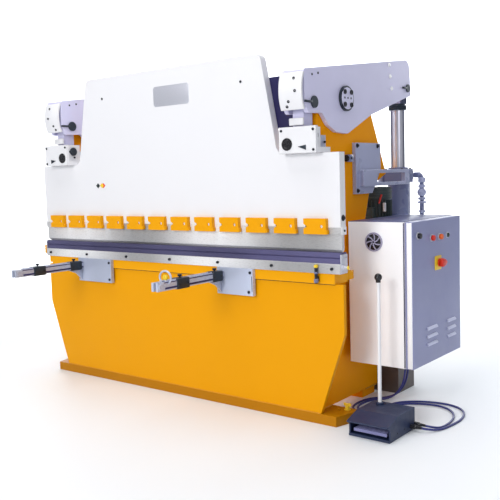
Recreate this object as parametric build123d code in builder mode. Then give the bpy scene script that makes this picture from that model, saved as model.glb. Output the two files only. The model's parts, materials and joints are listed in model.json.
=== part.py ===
from build123d import *
import math
import os

os.makedirs("parts", exist_ok=True)

# X runs along the bending line, Y towards the back of the machine, Z up.
# The origin is on the floor, at the middle of the machine, under the bending line.

# ---------------- driving sizes, millimetres ----------------
bending_length = 2500.0
between_frames = 1996.0
frame_thick = 60.0
throat_depth = 340.0
frame_depth = 698.0
fit_gap = 0.05  # radial clearance of a running fit
slide_gap = 0.5  # clearance beside a flat slide

base_thick = 57.0
base_half_front = 1195.0
base_half_back = 1232.0
base_front = -18.0
base_back = 165.0
anchor_radius = 11.0
jack_radius = 9.0

table_height = 848.0
flange_thick = 59.0
flange_inset = 42.0  # table flange shorter than the tooling, each end
flange_front = -24.0
flange_back = 110.0
apron_thick = 24.0
apron_overhang = 5.0
apron_foot_half = 1095.0
apron_knee = 514.0
bed_plate_thick = 24.0

die_holder_height = 54.0
die_holder_depth = 70.0
die_size = 60.0
die_screw_pitch = 400.0
die_screw_radius = 8.0

closed_gap = 0.5  # between punch tip and die face with the ram down
punch_blade = 97.5
punch_tang = 25.0
holder_height = 35.0
holder_depth = 40.0
ram_front = -20.0
ram_thick = 50.0
ram_lower_height = 400.0
ram_upper_height = 567.0
ram_side_lean = 105.0  # each side of the upper ram leans in by this
shoulder_fillet = 55.0
clevis_side = 30.0  # clevis past the lever plates
ram_stroke = 100.0

clamp_count = 12
clamp_pitch = 200.0
clamp_width = 143.0
clamp_height = 85.0
clamp_thick = 26.0
clamp_screw_radius = 9.0

lever_plate_thick = 25.0
lever_gap = 100.0  # clear width between the two plates of a lever
lever_side_gap = 2.0  # between the outer plate and the side frame
pivot_depth = 325.0  # bending line to lever pivot
front_arm_drop = 37.0  # pivot above front pin with the ram down
rear_arm = 788.0
rear_arm_rise = math.radians(8.2)
pivot_radius = 45.0
front_pin_radius = 32.0
rear_pin_radius = 25.0
ram_pin_radius = 28.0
pin_overhang = 8.0
flange_cap_radius = 71.0
flange_cap_thick = 14.0
link_length = 176.0
link_thick = 70.0
ram_pin_rise = 95.0  # ram pin above the ram's shoulder
eye_wall = 20.0

rod_radius = 45.0
piston_radius = 60.0
piston_length = 60.0
barrel_wall = 10.0
barrel_drop = 406.0  # lever pivot down to the top of the barrel
head_height = 87.0
cushion = 14.0  # free length left in the barrel at each end

cabinet_left = 1105.0
cabinet_width = 351.0
cabinet_front = 300.0
cabinet_depth = 645.0
cabinet_bottom = 290.0
cabinet_height = 815.0
cabinet_wall = 6.0
door_thick = 45.0
door_gap = 2.0
button_radius = 16.0
button_stem_radius = 10.0
button_travel = 5.0
switch_spindle_radius = 5.0

pedal_left = 1314.0
pedal_width = 242.0
pedal_front = -84.0
pedal_depth = 284.0
pedal_height = 118.0
pedal_wall = 8.0
pole_radius = 10.5
pole_height = 800.0
pole_ball_radius = 21.0

cable_radius = 6.0
gland_length = 25.0

arm_length = 550.0
arm_width = 50.0
arm_height = 48.0
arm_bracket_height = 158.0
arm_bracket_thick = 25.0

# ---------------- derived positions ----------------
frame_inner = between_frames / 2
frame_outer = frame_inner + frame_thick
apron_top = table_height - flange_thick
ram_half = bending_length / 2
flange_half = ram_half - flange_inset
die_top = table_height + die_holder_height + die_size
punch_tip = die_top + closed_gap
punch_top = punch_tip + punch_blade
ram_bottom = punch_top + holder_height
ram_shoulder = ram_bottom + ram_lower_height
ram_top = ram_shoulder + ram_upper_height
ram_back = ram_front + ram_thick
ram_pin_z = ram_shoulder + ram_pin_rise
front_pin_z = ram_pin_z + link_length
pivot_z = front_pin_z + front_arm_drop
front_arm = math.hypot(pivot_depth, front_arm_drop)
arm_down = math.asin(front_arm_drop / front_arm)
arm_up = math.asin((ram_stroke - front_arm_drop) / front_arm)
lever_swing = arm_down + arm_up
rear_pin_y = pivot_depth + rear_arm * math.cos(rear_arm_rise)
rear_pin_z = pivot_z + rear_arm * math.sin(rear_arm_rise)
rod_drop = rear_arm * (math.sin(rear_arm_rise) - math.sin(rear_arm_rise - lever_swing))

lever_outer_in = frame_outer + lever_side_gap
lever_inner_in = lever_outer_in - lever_gap
lever_outer_out = lever_outer_in + lever_plate_thick
lever_inner_out = lever_inner_in - lever_plate_thick
lever_mid = (lever_outer_in + lever_inner_in) / 2
clevis_in = lever_inner_out - clevis_side
ram_upper_foot_half = clevis_in - shoulder_fillet
ram_upper_top_half = ram_upper_foot_half - ram_side_lean
barrel_top = pivot_z - barrel_drop

# how far each open eye must let its pin wander front to back
link_slot_front = front_arm - pivot_depth
link_slot_back = pivot_depth - front_arm * math.cos(arm_up)
link_slot_half = ram_pin_radius + max(link_slot_front, link_slot_back) + 1.5
rod_reach_far = pivot_depth + rear_arm
rod_reach_near = pivot_depth + rear_arm * math.cos(rear_arm_rise - lever_swing)
rod_y = (rod_reach_far + rod_reach_near) / 2
rod_slot_half = rear_pin_radius + (rod_reach_far - rod_reach_near) / 2 + 1.5
eye_lift = 0.8  # clearance above and below the pin in an open eye

cabinet_right = cabinet_left + cabinet_width
cabinet_back = cabinet_front + cabinet_depth
cabinet_top = cabinet_bottom + cabinet_height
door_left = cabinet_right + door_gap
door_right = door_left + door_thick
pedal_right = pedal_left + pedal_width
pedal_back = pedal_front + pedal_depth


def finish(piece, label):
    piece.part.label = label
    export_step(piece.part, f"parts/{label}.step")


def finish_pair(piece, name):
    """Writes the right-hand piece and its left-hand mirror image."""
    finish(piece, f"right_{name}")
    with BuildPart() as twin:
        mirror(piece.part, about=Plane.YZ)
    finish(twin, f"left_{name}")


def side_plane(x):
    """A sketch plane across the machine, drawn in Y and Z."""
    return Plane.YZ.offset(x)


def front_plane(y):
    """A sketch plane along the machine, drawn in X and Z."""
    return Plane.XZ.offset(-y)


def block(x_range, y_range, z_range):
    """A plain block between two corners, for use inside a part."""
    centre = [(low + high) / 2 for low, high in (x_range, y_range, z_range)]
    size = [high - low for low, high in (x_range, y_range, z_range)]
    with Locations(tuple(centre)):
        Box(*size)


def cross_rod(y, z, radius, x_from, x_to, mode=Mode.ADD):
    """A round bar or bore running along X."""
    with Locations(((x_from + x_to) / 2, y, z)):
        Cylinder(radius, x_to - x_from, rotation=(0, 90, 0), mode=mode)


def outline(points, mode=Mode.ADD):
    """A closed straight-sided face through the points, for use inside a sketch."""
    Polygon(*points, align=None, mode=mode)


# ---------------- base ----------------
anchor_x = base_half_back - 96.0
anchor_y = base_back - 52.0
jack_x = base_half_back - 55.0
jack_y = base_back - 30.0
with BuildPart() as base_plate:
    with BuildSketch():
        outline([
            (-base_half_front, base_front),
            (base_half_front, base_front),
            (base_half_back, base_back - 50),
            (base_half_back, base_back),
            (-base_half_back, base_back),
            (-base_half_back, base_back - 50),
        ])
    extrude(amount=base_thick)
    with Locations(*[(side * anchor_x, anchor_y, base_thick) for side in (-1, 1)]):
        Hole(anchor_radius)
    with Locations(*[(side * jack_x, jack_y, base_thick) for side in (-1, 1)]):
        Hole(jack_radius + fit_gap)
finish(base_plate, "base_plate")

rear_bar_back = frame_depth - 8.0
rear_bar_depth = 150.0
with BuildPart() as rear_base_bar:
    bar_half = frame_outer - 18
    block((-bar_half, bar_half), (rear_bar_back - rear_bar_depth, rear_bar_back), (0, base_thick))
finish(rear_base_bar, "rear_base_bar")

with BuildPart() as levelling_bolts:
    for side in (-1, 1):
        with BuildSketch(Plane.XY.offset(1)):
            with Locations((side * jack_x, jack_y)):
                Circle(jack_radius)
        extrude(amount=base_thick + 34)
        with BuildSketch(Plane.XY.offset(base_thick + 6)):
            with Locations((side * jack_x, jack_y)):
                RegularPolygon(jack_radius * 1.7, 6)
        extrude(amount=14)
finish(levelling_bolts, "levelling_bolts")

# ---------------- side frames ----------------
apron_back = apron_thick / 2
throat_top = ram_bottom + 245.0
frame_nose_front = ram_back + 32.0
frame_crown = pivot_z + 122.0
frame_boss_radius = 92.0
with BuildPart() as side_frame:
    with BuildSketch(side_plane(frame_inner)) as frame_face:
        outline([
            (apron_back, base_thick),
            (frame_depth, base_thick),
            (frame_depth, table_height + 42),
            (frame_depth - 122, table_height + 162),
            (frame_depth - 122, table_height + 248),
            (frame_depth - 68, barrel_top - 140),
            (frame_depth - 60, barrel_top - 107),
            (frame_depth + 150, barrel_top - 25),
            (frame_depth + 134, barrel_top + 9),
            (frame_depth - 29, pivot_z - 75),
            (frame_depth - 118, frame_crown - 30),
            (pivot_depth + 40, frame_crown),
            (frame_nose_front, frame_crown - 60),
            (frame_nose_front, throat_top),
            (throat_depth, throat_top),
            (throat_depth, apron_top),
            (apron_back, apron_top),
        ])
        throat_corners = frame_face.vertices().filter_by_position(
            Axis.Y, throat_depth - 1, throat_depth + 1
        )
        fillet(throat_corners, 90)
    extrude(amount=frame_thick)
    cross_rod(pivot_depth, pivot_z, frame_boss_radius, lever_inner_in + 2, frame_inner)
    cross_rod(
        pivot_depth, pivot_z, pivot_radius + fit_gap, lever_inner_in, frame_outer + 1, Mode.SUBTRACT
    )
finish_pair(side_frame, "side_frame")

tie_radius = 50.0
with BuildPart() as tie_tubes:
    for y, z in ((throat_depth + 35, throat_top + 85), (frame_depth - 98, 250)):
        cross_rod(y, z, tie_radius, -frame_inner, frame_inner)
        cross_rod(y, z, tie_radius - 8, -frame_inner, frame_inner, Mode.SUBTRACT)
finish(tie_tubes, "tie_tubes")

# ---------------- bed ----------------
apron_half = ram_half + apron_overhang
with BuildPart() as front_apron:
    with BuildSketch(front_plane(apron_back)):
        outline([
            (-apron_foot_half, base_thick),
            (apron_foot_half, base_thick),
            (apron_half, apron_knee),
            (apron_half, apron_top),
            (-apron_half, apron_top),
            (-apron_half, apron_knee),
        ])
    extrude(amount=apron_thick)
finish(front_apron, "front_apron")

bed_plate_back = flange_back - 30.0
with BuildPart() as bed_rear_plate:
    block(
        (-frame_inner, frame_inner),
        (bed_plate_back - bed_plate_thick, bed_plate_back),
        (base_thick, apron_top),
    )
finish(bed_rear_plate, "bed_rear_plate")

with BuildPart() as table_flange:
    block((-flange_half, flange_half), (flange_front, flange_back), (apron_top, table_height))
finish(table_flange, "table_flange")

holder_front = -die_holder_depth / 2
holder_rail_top = table_height + die_holder_height
die_screw_z = table_height + die_holder_height / 2
die_screw_count = 2 * int((ram_half - 50) / die_screw_pitch) + 1
die_screw_xs = [(i - die_screw_count // 2) * die_screw_pitch for i in range(die_screw_count)]
with BuildPart() as die_holder:
    block((-ram_half, ram_half), (holder_front, -holder_front), (table_height, holder_rail_top))
    chamfer(die_holder.edges().filter_by(Axis.X).group_by(Axis.Z)[-1], 4)
finish(die_holder, "die_holder")

with BuildPart() as die_screws:
    for x in die_screw_xs:
        with BuildSketch(front_plane(holder_front)):
            with Locations((x, die_screw_z)):
                Circle(die_screw_radius)
        extrude(amount=10)
        with BuildSketch(front_plane(holder_front - 4)):
            with Locations((x, die_screw_z)):
                RegularPolygon(die_screw_radius * 0.55, 6)
        extrude(amount=7, mode=Mode.SUBTRACT)
finish(die_screws, "die_screws")

# four-way die: a different V in each long face
die_half = die_size / 2
with BuildPart() as die_block:
    with BuildSketch(side_plane(-ram_half)):
        with Locations((0, holder_rail_top + die_half)):
            Rectangle(die_size, die_size)
        for turn, mouth in ((0, 32.0), (90, 12.0), (180, 22.0), (270, 16.0)):
            groove = [(-mouth / 2, die_half + 1), (mouth / 2, die_half + 1), (0, die_half - mouth / 2)]
            with Locations(Location((0, holder_rail_top + die_half), turn)):
                outline(groove, Mode.SUBTRACT)
    extrude(amount=bending_length)
finish(die_block, "die_block")

peg_radius = 9.0
peg_x = ram_half - 146.0
with BuildPart() as table_pegs:
    for side in (-1, 1):
        with BuildSketch(Plane.XY.offset(table_height)):
            with Locations((side * (flange_half - 9 - peg_radius), flange_back - 20)):
                Circle(peg_radius)
        extrude(amount=70)
    peg_y = holder_front - peg_radius - 1
    with BuildSketch(Plane.XY.offset(apron_top + 5)):
        with Locations((peg_x, peg_y)):
            Circle(peg_radius)
    extrude(amount=84)
    block((peg_x - 7, peg_x + 7), (peg_y, flange_front), (apron_top + 15, apron_top + 40))
finish(table_pegs, "table_pegs")

# ---------------- ram and tooling ----------------
with BuildPart() as ram_plate:
    with BuildSketch(front_plane(ram_back)) as ram_face:
        outline([
            (-ram_half, ram_bottom),
            (ram_half, ram_bottom),
            (ram_half, ram_shoulder),
            (ram_upper_foot_half, ram_shoulder),
            (ram_upper_top_half, ram_top),
            (-ram_upper_top_half, ram_top),
            (-ram_upper_foot_half, ram_shoulder),
            (-ram_half, ram_shoulder),
        ])
        fillet(ram_face.vertices().group_by(Axis.Y)[-1], 45)
        inner_corners = ram_face.vertices().filter_by_position(
            Axis.Y, ram_shoulder - 1, ram_shoulder + 1
        )
        near = ram_upper_foot_half + 1
        fillet(inner_corners.filter_by_position(Axis.X, -near, near), shoulder_fillet)
    extrude(amount=ram_thick)
finish(ram_plate, "ram_plate")

tang_half = 7.0
with BuildPart() as punch_holder:
    block((-ram_half, ram_half), (ram_front, ram_front + holder_depth), (punch_top, ram_bottom))
    block_slot = (-tang_half - slide_gap, tang_half + slide_gap)
    with Locations((0, sum(block_slot) / 2, punch_top + (punch_tang + slide_gap) / 2)):
        Box(bending_length, block_slot[1] - block_slot[0], punch_tang + slide_gap, mode=Mode.SUBTRACT)
finish(punch_holder, "punch_holder")

punch_half = 13.0
with BuildPart() as punch:
    with BuildSketch(side_plane(-ram_half)):
        outline([
            (-0.8, punch_tip),
            (0.8, punch_tip),
            (punch_half, punch_tip + punch_half * 1.1),
            (punch_half, punch_top),
            (tang_half, punch_top),
            (tang_half, punch_top + punch_tang),
            (-tang_half, punch_top + punch_tang),
            (-tang_half, punch_top),
            (-punch_half, punch_top),
            (-punch_half, punch_tip + punch_half * 1.1),
        ])
    extrude(amount=bending_length)
finish(punch, "punch")

clamp_bottom = ram_bottom - 36.0
clamp_mid = clamp_bottom + clamp_height / 2
clamp_xs = [(i - (clamp_count - 1) / 2) * clamp_pitch for i in range(clamp_count)]
with BuildPart() as punch_clamps:
    with BuildSketch(front_plane(ram_front)):
        with Locations(*[(x, clamp_mid) for x in clamp_xs]):
            Rectangle(clamp_width, clamp_height)
        for x in clamp_xs:
            edge = x - clamp_width / 2
            notch = [(edge - 1, clamp_mid - 14), (edge + 24, clamp_mid), (edge - 1, clamp_mid + 14)]
            outline(notch, Mode.SUBTRACT)
        with Locations(*[(x + clamp_width * 0.3, clamp_mid) for x in clamp_xs]):
            Circle(clamp_screw_radius, mode=Mode.SUBTRACT)
    extrude(amount=clamp_thick)
finish(punch_clamps, "punch_clamps")

# U-shaped clevis on each shoulder of the ram, around the lower end of the link
clevis_out = lever_outer_out + 60.0
clevis_front = ram_front - 60.0
clevis_back = frame_nose_front - 2.0
clevis_base = ram_shoulder + 30.0
clevis_top = ram_pin_z + 47.0
lug_thick = 33.0
with BuildPart() as ram_clevises:
    block((clevis_in, clevis_out), (clevis_front, clevis_back), (ram_shoulder, clevis_base))
    block((clevis_in, clevis_out), (clevis_front, clevis_front + 20), (clevis_base, clevis_top))
    lug_gap = link_thick / 2 + 5
    for lug in ((lever_mid - lug_gap - lug_thick, lever_mid - lug_gap),
                (lever_mid + lug_gap, lever_mid + lug_gap + lug_thick)):
        block(lug, (clevis_front, clevis_back), (clevis_base, clevis_top))
    cross_rod(0, ram_pin_z, ram_pin_radius, clevis_in - 1, clevis_out + 1, Mode.SUBTRACT)
    mirror(about=Plane.YZ)
finish(ram_clevises, "ram_clevises")

with BuildPart() as ram_pins:
    pin_in = lever_mid - lug_gap - lug_thick - pin_overhang
    pin_out = lever_mid + lug_gap + lug_thick + pin_overhang
    cross_rod(0, ram_pin_z, ram_pin_radius, pin_in, pin_out)
    mirror(about=Plane.YZ)
finish(ram_pins, "ram_pins")

# guide bars on the frames, and shoes on the ram that slide along them
gib_thick = 25.0
gib_back = frame_nose_front + 50.0
gib_bottom = throat_top + 20.0
gib_top = ram_shoulder + 97.0
with BuildPart() as guide_gibs:
    for x in (frame_outer, frame_inner - gib_thick):
        block((x, x + gib_thick), (frame_nose_front, gib_back), (gib_bottom, gib_top))
    mirror(about=Plane.YZ)
finish(guide_gibs, "guide_gibs")

shoe_thick = 25.0
shoe_top = ram_shoulder - 15.0
shoe_bottom = gib_bottom + 20.0
with BuildPart() as ram_guide_shoes:
    outer_shoe = frame_outer + gib_thick + slide_gap
    inner_shoe = frame_inner - gib_thick - slide_gap - shoe_thick
    for x in (outer_shoe, inner_shoe):
        block((x, x + shoe_thick), (ram_back, gib_back), (shoe_bottom, shoe_top))
    mirror(about=Plane.YZ)
finish(ram_guide_shoes, "ram_guide_shoes")

# ---------------- levers and links ----------------
nose_front = -87.0
lever_top_front = front_pin_z + 170.0
lever_top_back = rear_pin_z + 184.0
lever_tail = rear_pin_y + 50.0
lever_outline = [
    (nose_front, lever_top_front),
    (lever_tail - 25, lever_top_back),
    (lever_tail, rear_pin_z - 45),
    (rear_pin_y - 12, rear_pin_z - 59),
    (pivot_depth + 295, pivot_z - 79),
    (pivot_depth + 20, pivot_z - 197),
    (pivot_depth - 100, pivot_z - 191),
    (pivot_depth - 185, pivot_z - 153),
    (pivot_depth - 245, pivot_z - 91),
    (-55, front_pin_z - 60),
    (nose_front, front_pin_z - 6),
]
lever_corner_radii = [14, 55, 24, 30, 40, 60, 50, 30, 30, 20, 20]
with BuildPart() as lever_plates:
    for x in (lever_outer_in, lever_inner_out):
        with BuildSketch(side_plane(x)):
            with BuildLine():
                FilletPolyline(*lever_outline, radius=lever_corner_radii, close=True)
            make_face()
            with Locations((pivot_depth, pivot_z)):
                Circle(pivot_radius, mode=Mode.SUBTRACT)
            with Locations((0, front_pin_z)):
                Circle(front_pin_radius, mode=Mode.SUBTRACT)
            with Locations((rear_pin_y, rear_pin_z)):
                Circle(rear_pin_radius, mode=Mode.SUBTRACT)
        extrude(amount=lever_plate_thick)
finish_pair(lever_plates, "lever_plates")

lever_slope = (lever_top_back - lever_top_front) / (lever_tail - 25 - nose_front)
spacer_y = rear_pin_y - 260.0
spacer_top = lever_top_front + lever_slope * (spacer_y - nose_front) - 22
with BuildPart() as lever_spacers:
    with BuildSketch(side_plane(lever_inner_in)):
        outline([
            (nose_front + 2, front_pin_z),
            (nose_front + 24, front_pin_z - 40),
            (nose_front + 26, lever_top_front - 26),
            (40, lever_top_front - 8),
            (40, lever_top_front + 12),
            (nose_front + 2, lever_top_front - 4),
        ])
        outline([
            (spacer_y - 20, spacer_top),
            (spacer_y + 20, spacer_top + 6),
            (spacer_y + 50, spacer_top - 150),
            (spacer_y + 10, spacer_top - 156),
        ])
    extrude(amount=lever_gap)
finish_pair(lever_spacers, "lever_spacers")

pin_in = lever_inner_out - pin_overhang
pin_out = lever_outer_out + pin_overhang
with BuildPart() as lever_pins:
    cross_rod(pivot_depth, pivot_z, pivot_radius, lever_inner_out, lever_outer_out)
    for cap_in in (lever_outer_out, lever_inner_out - flange_cap_thick):
        cross_rod(pivot_depth, pivot_z, flange_cap_radius, cap_in, cap_in + flange_cap_thick)
    cross_rod(0, front_pin_z, front_pin_radius, pin_in, pin_out)
    cross_rod(rear_pin_y, rear_pin_z, rear_pin_radius, pin_in, pin_out)
finish_pair(lever_pins, "lever_pins")

link_half = front_pin_radius + eye_wall
with BuildPart() as link:
    with BuildSketch(side_plane(lever_mid - link_thick / 2)):
        with Locations((0, front_pin_z)):
            Circle(link_half)
        with Locations((0, ram_pin_z)):
            SlotCenterToCenter(4, 2 * link_half - 2)
        with Locations((0, (front_pin_z + ram_pin_z) / 2)):
            Rectangle(2 * link_half - 20, link_length)
        with Locations((0, front_pin_z)):
            Circle(front_pin_radius + fit_gap, mode=Mode.SUBTRACT)
        with Locations((0, ram_pin_z)):
            slot_height = 2 * (ram_pin_radius + eye_lift)
            SlotOverall(2 * link_slot_half, slot_height, mode=Mode.SUBTRACT)
    extrude(amount=link_thick)
finish_pair(link, "link")

# ---------------- lifting cylinders ----------------
barrel_radius = piston_radius + barrel_wall
head_half = barrel_radius + 2.0
head_bottom = barrel_top - head_height
piston_top = head_bottom - cushion
piston_bottom = piston_top - piston_length
bore_bottom = piston_bottom - rod_drop - cushion
port_z = head_bottom + 45.0
port_size = 50.0
head_back = rod_y + head_half
with BuildPart() as cylinder_barrel:
    with BuildSketch(Plane.XY.offset(bore_bottom - 20)):
        with Locations((lever_mid, rod_y)):
            Circle(barrel_radius)
    extrude(amount=head_bottom - bore_bottom + 20)
    block(
        (lever_mid - head_half, lever_mid + head_half),
        (rod_y - head_half, head_back),
        (head_bottom, barrel_top),
    )
    block(
        (lever_mid - port_size / 2, lever_mid + port_size / 2),
        (head_back, head_back + port_size),
        (port_z - port_size / 2, port_z + port_size / 2),
    )
    with BuildSketch(Plane.XY.offset(bore_bottom)):
        with Locations((lever_mid, rod_y)):
            Circle(piston_radius)
    extrude(amount=head_bottom - bore_bottom, mode=Mode.SUBTRACT)
    with BuildSketch(Plane.XY.offset(head_bottom)):
        with Locations((lever_mid, rod_y)):
            Circle(rod_radius + fit_gap)
    extrude(amount=head_height, mode=Mode.SUBTRACT)
finish_pair(cylinder_barrel, "cylinder_barrel")

rod_end_half = lever_gap / 2 - 6.0
rod_end_bottom = rear_pin_z - 95.0
rod_end_radius = rod_slot_half + 14.0
with BuildPart() as piston_rod:
    with BuildSketch(Plane.XY.offset(piston_bottom)):
        with Locations((lever_mid, rod_y)):
            Circle(piston_radius - fit_gap)
    extrude(amount=piston_length)
    with BuildSketch(Plane.XY.offset(piston_top)):
        with Locations((lever_mid, rod_y)):
            Circle(rod_radius)
    extrude(amount=rod_end_bottom - piston_top)
    with BuildSketch(side_plane(lever_mid - rod_end_half)):
        with Locations((rod_y, rear_pin_z)):
            Circle(rod_end_radius)
        with Locations((rod_y, (rear_pin_z + rod_end_bottom) / 2)):
            Rectangle(2 * rod_end_radius, rear_pin_z - rod_end_bottom)
        with Locations((rod_y, rear_pin_z)):
            SlotOverall(2 * rod_slot_half, 2 * (rear_pin_radius + eye_lift), mode=Mode.SUBTRACT)
    extrude(amount=2 * rod_end_half)
finish_pair(piston_rod, "piston_rod")

# brackets on both faces of each frame, with arms back to the cylinder head
bracket_front = throat_depth + 98.0
bracket_back = frame_depth + 38.0
bracket_top = barrel_top + 160.0
bracket_bottom = head_bottom - 53.0
arm_bottom = head_bottom - 10.0
arm_back = rod_y - head_half + 42.0
yoke_plate = 25.0
head_side = lever_mid + head_half
with BuildPart() as cylinder_yokes:
    bracket_outline = [
        (bracket_front, bracket_bottom),
        (bracket_front + 192, bracket_bottom),
        (bracket_back, barrel_top),
        (bracket_back, bracket_top),
        (bracket_front, bracket_top),
    ]
    inner_face = lever_mid - head_half
    for x_from, x_to in ((frame_outer, head_side), (inner_face, frame_inner)):
        with BuildSketch(side_plane(x_from)):
            outline(bracket_outline)
        extrude(amount=x_to - x_from)
    slot_y = (bracket_front + 210, rod_y - head_half - 20)
    for x in (head_side, inner_face - yoke_plate):
        with BuildSketch(side_plane(x)):
            outline([
                (bracket_front + 40, arm_bottom),
                (arm_back, arm_bottom),
                (arm_back, barrel_top),
                (bracket_front + 40, barrel_top),
            ])
            with Locations((sum(slot_y) / 2, (arm_bottom + barrel_top) / 2)):
                Rectangle(slot_y[1] - slot_y[0], 56, mode=Mode.SUBTRACT)
        extrude(amount=yoke_plate)
    mirror(about=Plane.YZ)
finish(cylinder_yokes, "cylinder_yokes")

# ---------------- hydraulic power pack ----------------
tank_left = 720.0
tank_front = frame_depth + 38.0
tank_depth = 217.0
tank_top = 1000.0
foot_right = cabinet_left + 81.0
with BuildPart() as oil_tank:
    block((tank_left, cabinet_left - 13), (tank_front, tank_front + tank_depth), (0, tank_top))
    block(
        (cabinet_left - 13, foot_right),
        (tank_front, tank_front + tank_depth),
        (0, cabinet_bottom - 15),
    )
finish(oil_tank, "oil_tank")

motor_radius = 105.0
motor_x = lever_mid - 25.0
motor_y = tank_front + tank_depth / 2
motor_top = head_bottom - 27.0
with BuildPart() as pump_motor:
    with BuildSketch(Plane.XY.offset(tank_top)):
        with Locations((motor_x, motor_y)):
            Circle(motor_radius)
    extrude(amount=22)
    with BuildSketch(Plane.XY.offset(tank_top + 22)):
        with Locations((motor_x, motor_y)):
            Circle(motor_radius - 14)
    extrude(amount=motor_top - tank_top - 92)
    with BuildSketch(Plane.XY.offset(motor_top - 70)):
        with Locations((motor_x, motor_y)):
            Circle(motor_radius - 4)
    extrude(amount=70)
finish(pump_motor, "pump_motor")

valve_x = (tank_left + 20, tank_left + 130)
valve_back = motor_y + 55.0
with BuildPart() as valve_block:
    block(valve_x, (motor_y - 55, valve_back), (tank_top, tank_top + 150))
    for offset in (35, 95):
        with BuildSketch(Plane.XY.offset(tank_top + 150)):
            with Locations((valve_x[0] + offset - 10, motor_y)):
                Circle(20)
        extrude(amount=60)
finish(valve_block, "valve_block")

pipe_radius = 11.0
pipe_y = head_back + port_size + 26.0
elbow_half = 26.0
with BuildPart() as pressure_pipes:
    for side, pipe_z, pipe_x in (
        (1, tank_top + 60, valve_x[1] - 30),
        (-1, tank_top + 110, valve_x[0] + 30),
    ):
        port_x = side * lever_mid
        with BuildLine() as run:
            FilletPolyline(
                (port_x, pipe_y, port_z - elbow_half),
                (port_x, pipe_y, pipe_z),
                (pipe_x, pipe_y, pipe_z),
                (pipe_x, valve_back, pipe_z),
                radius=45,
            )
        with BuildSketch(Plane(run.line @ 0, z_dir=run.line % 0)):
            Circle(pipe_radius)
        sweep(path=run.line)
        block(
            (port_x - elbow_half, port_x + elbow_half),
            (head_back + port_size, pipe_y + elbow_half),
            (port_z - elbow_half, port_z + elbow_half),
        )
finish(pressure_pipes, "pressure_pipes")

# ---------------- control cabinet ----------------
cabinet_x = (cabinet_left, cabinet_right)
cabinet_y = (cabinet_front, cabinet_back)
cabinet_z = (cabinet_bottom, cabinet_top)
hinge_x = cabinet_right + 1.0
hinge_y = cabinet_back + 9.0
hinge_zs = (cabinet_bottom + 110, cabinet_top - 110)
hinge_pin_radius = 4.0
knuckle_radius = 8.0
knuckle_height = 30.0
with BuildPart() as cabinet_shell:
    block(cabinet_x, cabinet_y, cabinet_z)
    with Locations((
        (cabinet_left + cabinet_wall + cabinet_right + 1) / 2,
        (cabinet_front + cabinet_back) / 2,
        (cabinet_bottom + cabinet_top) / 2,
    )):
        Box(
            cabinet_width - cabinet_wall + 1,
            cabinet_depth - 2 * cabinet_wall,
            cabinet_height - 2 * cabinet_wall,
            mode=Mode.SUBTRACT,
        )
    for z in hinge_zs:
        block((hinge_x - 40, hinge_x), (cabinet_back, hinge_y + 6), (z - 34, z - 2))
        with BuildSketch(Plane.XY.offset(z - 34)):
            with Locations((hinge_x, hinge_y)):
                Circle(knuckle_radius)
        extrude(amount=32)
        with BuildSketch(Plane.XY.offset(z - 10)):
            with Locations((hinge_x, hinge_y)):
                Circle(hinge_pin_radius)
        extrude(amount=10 + knuckle_height - 2)
finish(cabinet_shell, "cabinet_shell")

# controls on the door: place along Y and height of each
controls = {
    "black_button": (cabinet_front + 66, cabinet_top - 78),
    "red_button": (cabinet_front + 239, cabinet_top - 103),
    "orange_button": (cabinet_front + 346, cabinet_top - 104),
}
switch_place = (cabinet_front + 337, cabinet_top - 253)
louvre_columns = (
    (cabinet_front + 170, cabinet_front + 304),
    (cabinet_front + 445, cabinet_back - 82),
)
louvre_zs = [cabinet_bottom + rise for rise in (195, 149, 103)]
sheet_in = door_right - cabinet_wall
with BuildPart() as cabinet_door:
    block((door_left, door_right), cabinet_y, cabinet_z)
    with Locations((
        (door_left - 1 + sheet_in) / 2,
        (cabinet_front + cabinet_back) / 2,
        (cabinet_bottom + cabinet_top) / 2,
    )):
        Box(
            sheet_in - door_left + 1,
            cabinet_depth - 2 * cabinet_wall,
            cabinet_height - 2 * cabinet_wall,
            mode=Mode.SUBTRACT,
        )
    with BuildSketch(side_plane(sheet_in - 1)):
        with Locations(*controls.values()):
            Circle(button_stem_radius + slide_gap)
        with Locations(switch_place):
            Circle(switch_spindle_radius + fit_gap)
        for y_from, y_to in louvre_columns:
            with Locations(*[((y_from + y_to) / 2, z) for z in louvre_zs]):
                Rectangle(y_to - y_from, 7)
    extrude(amount=cabinet_wall + 2, mode=Mode.SUBTRACT)
    for z in hinge_zs:
        with BuildSketch(Plane.XY.offset(z)):
            with Locations((hinge_x, hinge_y)):
                Circle(knuckle_radius)
            with Locations((hinge_x + 12, hinge_y - 1)):
                Rectangle(16, 10)
            with Locations((hinge_x + 12, hinge_y - 6)):
                Rectangle(14, 8)
            with Locations((hinge_x, hinge_y)):
                Circle(hinge_pin_radius + fit_gap, mode=Mode.SUBTRACT)
        extrude(amount=knuckle_height)
finish(cabinet_door, "cabinet_door")

for name, (y, z) in controls.items():
    with BuildPart() as button:
        cross_rod(y, z, button_stem_radius, sheet_in - 20, door_right + 8)
        cross_rod(y, z, button_radius, door_right + 8, door_right + 22)
        fillet(button.edges().group_by(Axis.X)[-1], 4)
    finish(button, name)

with BuildPart() as mains_switch:
    cross_rod(*switch_place, switch_spindle_radius, sheet_in - 20, door_right + 5)
    cross_rod(*switch_place, 24, door_right + 5, door_right + 13)
    block(
        (door_right + 13, door_right + 32),
        (switch_place[0] - 8, switch_place[0] + 8),
        (switch_place[1] - 24, switch_place[1] + 24),
    )
finish(mains_switch, "mains_switch")

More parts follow.
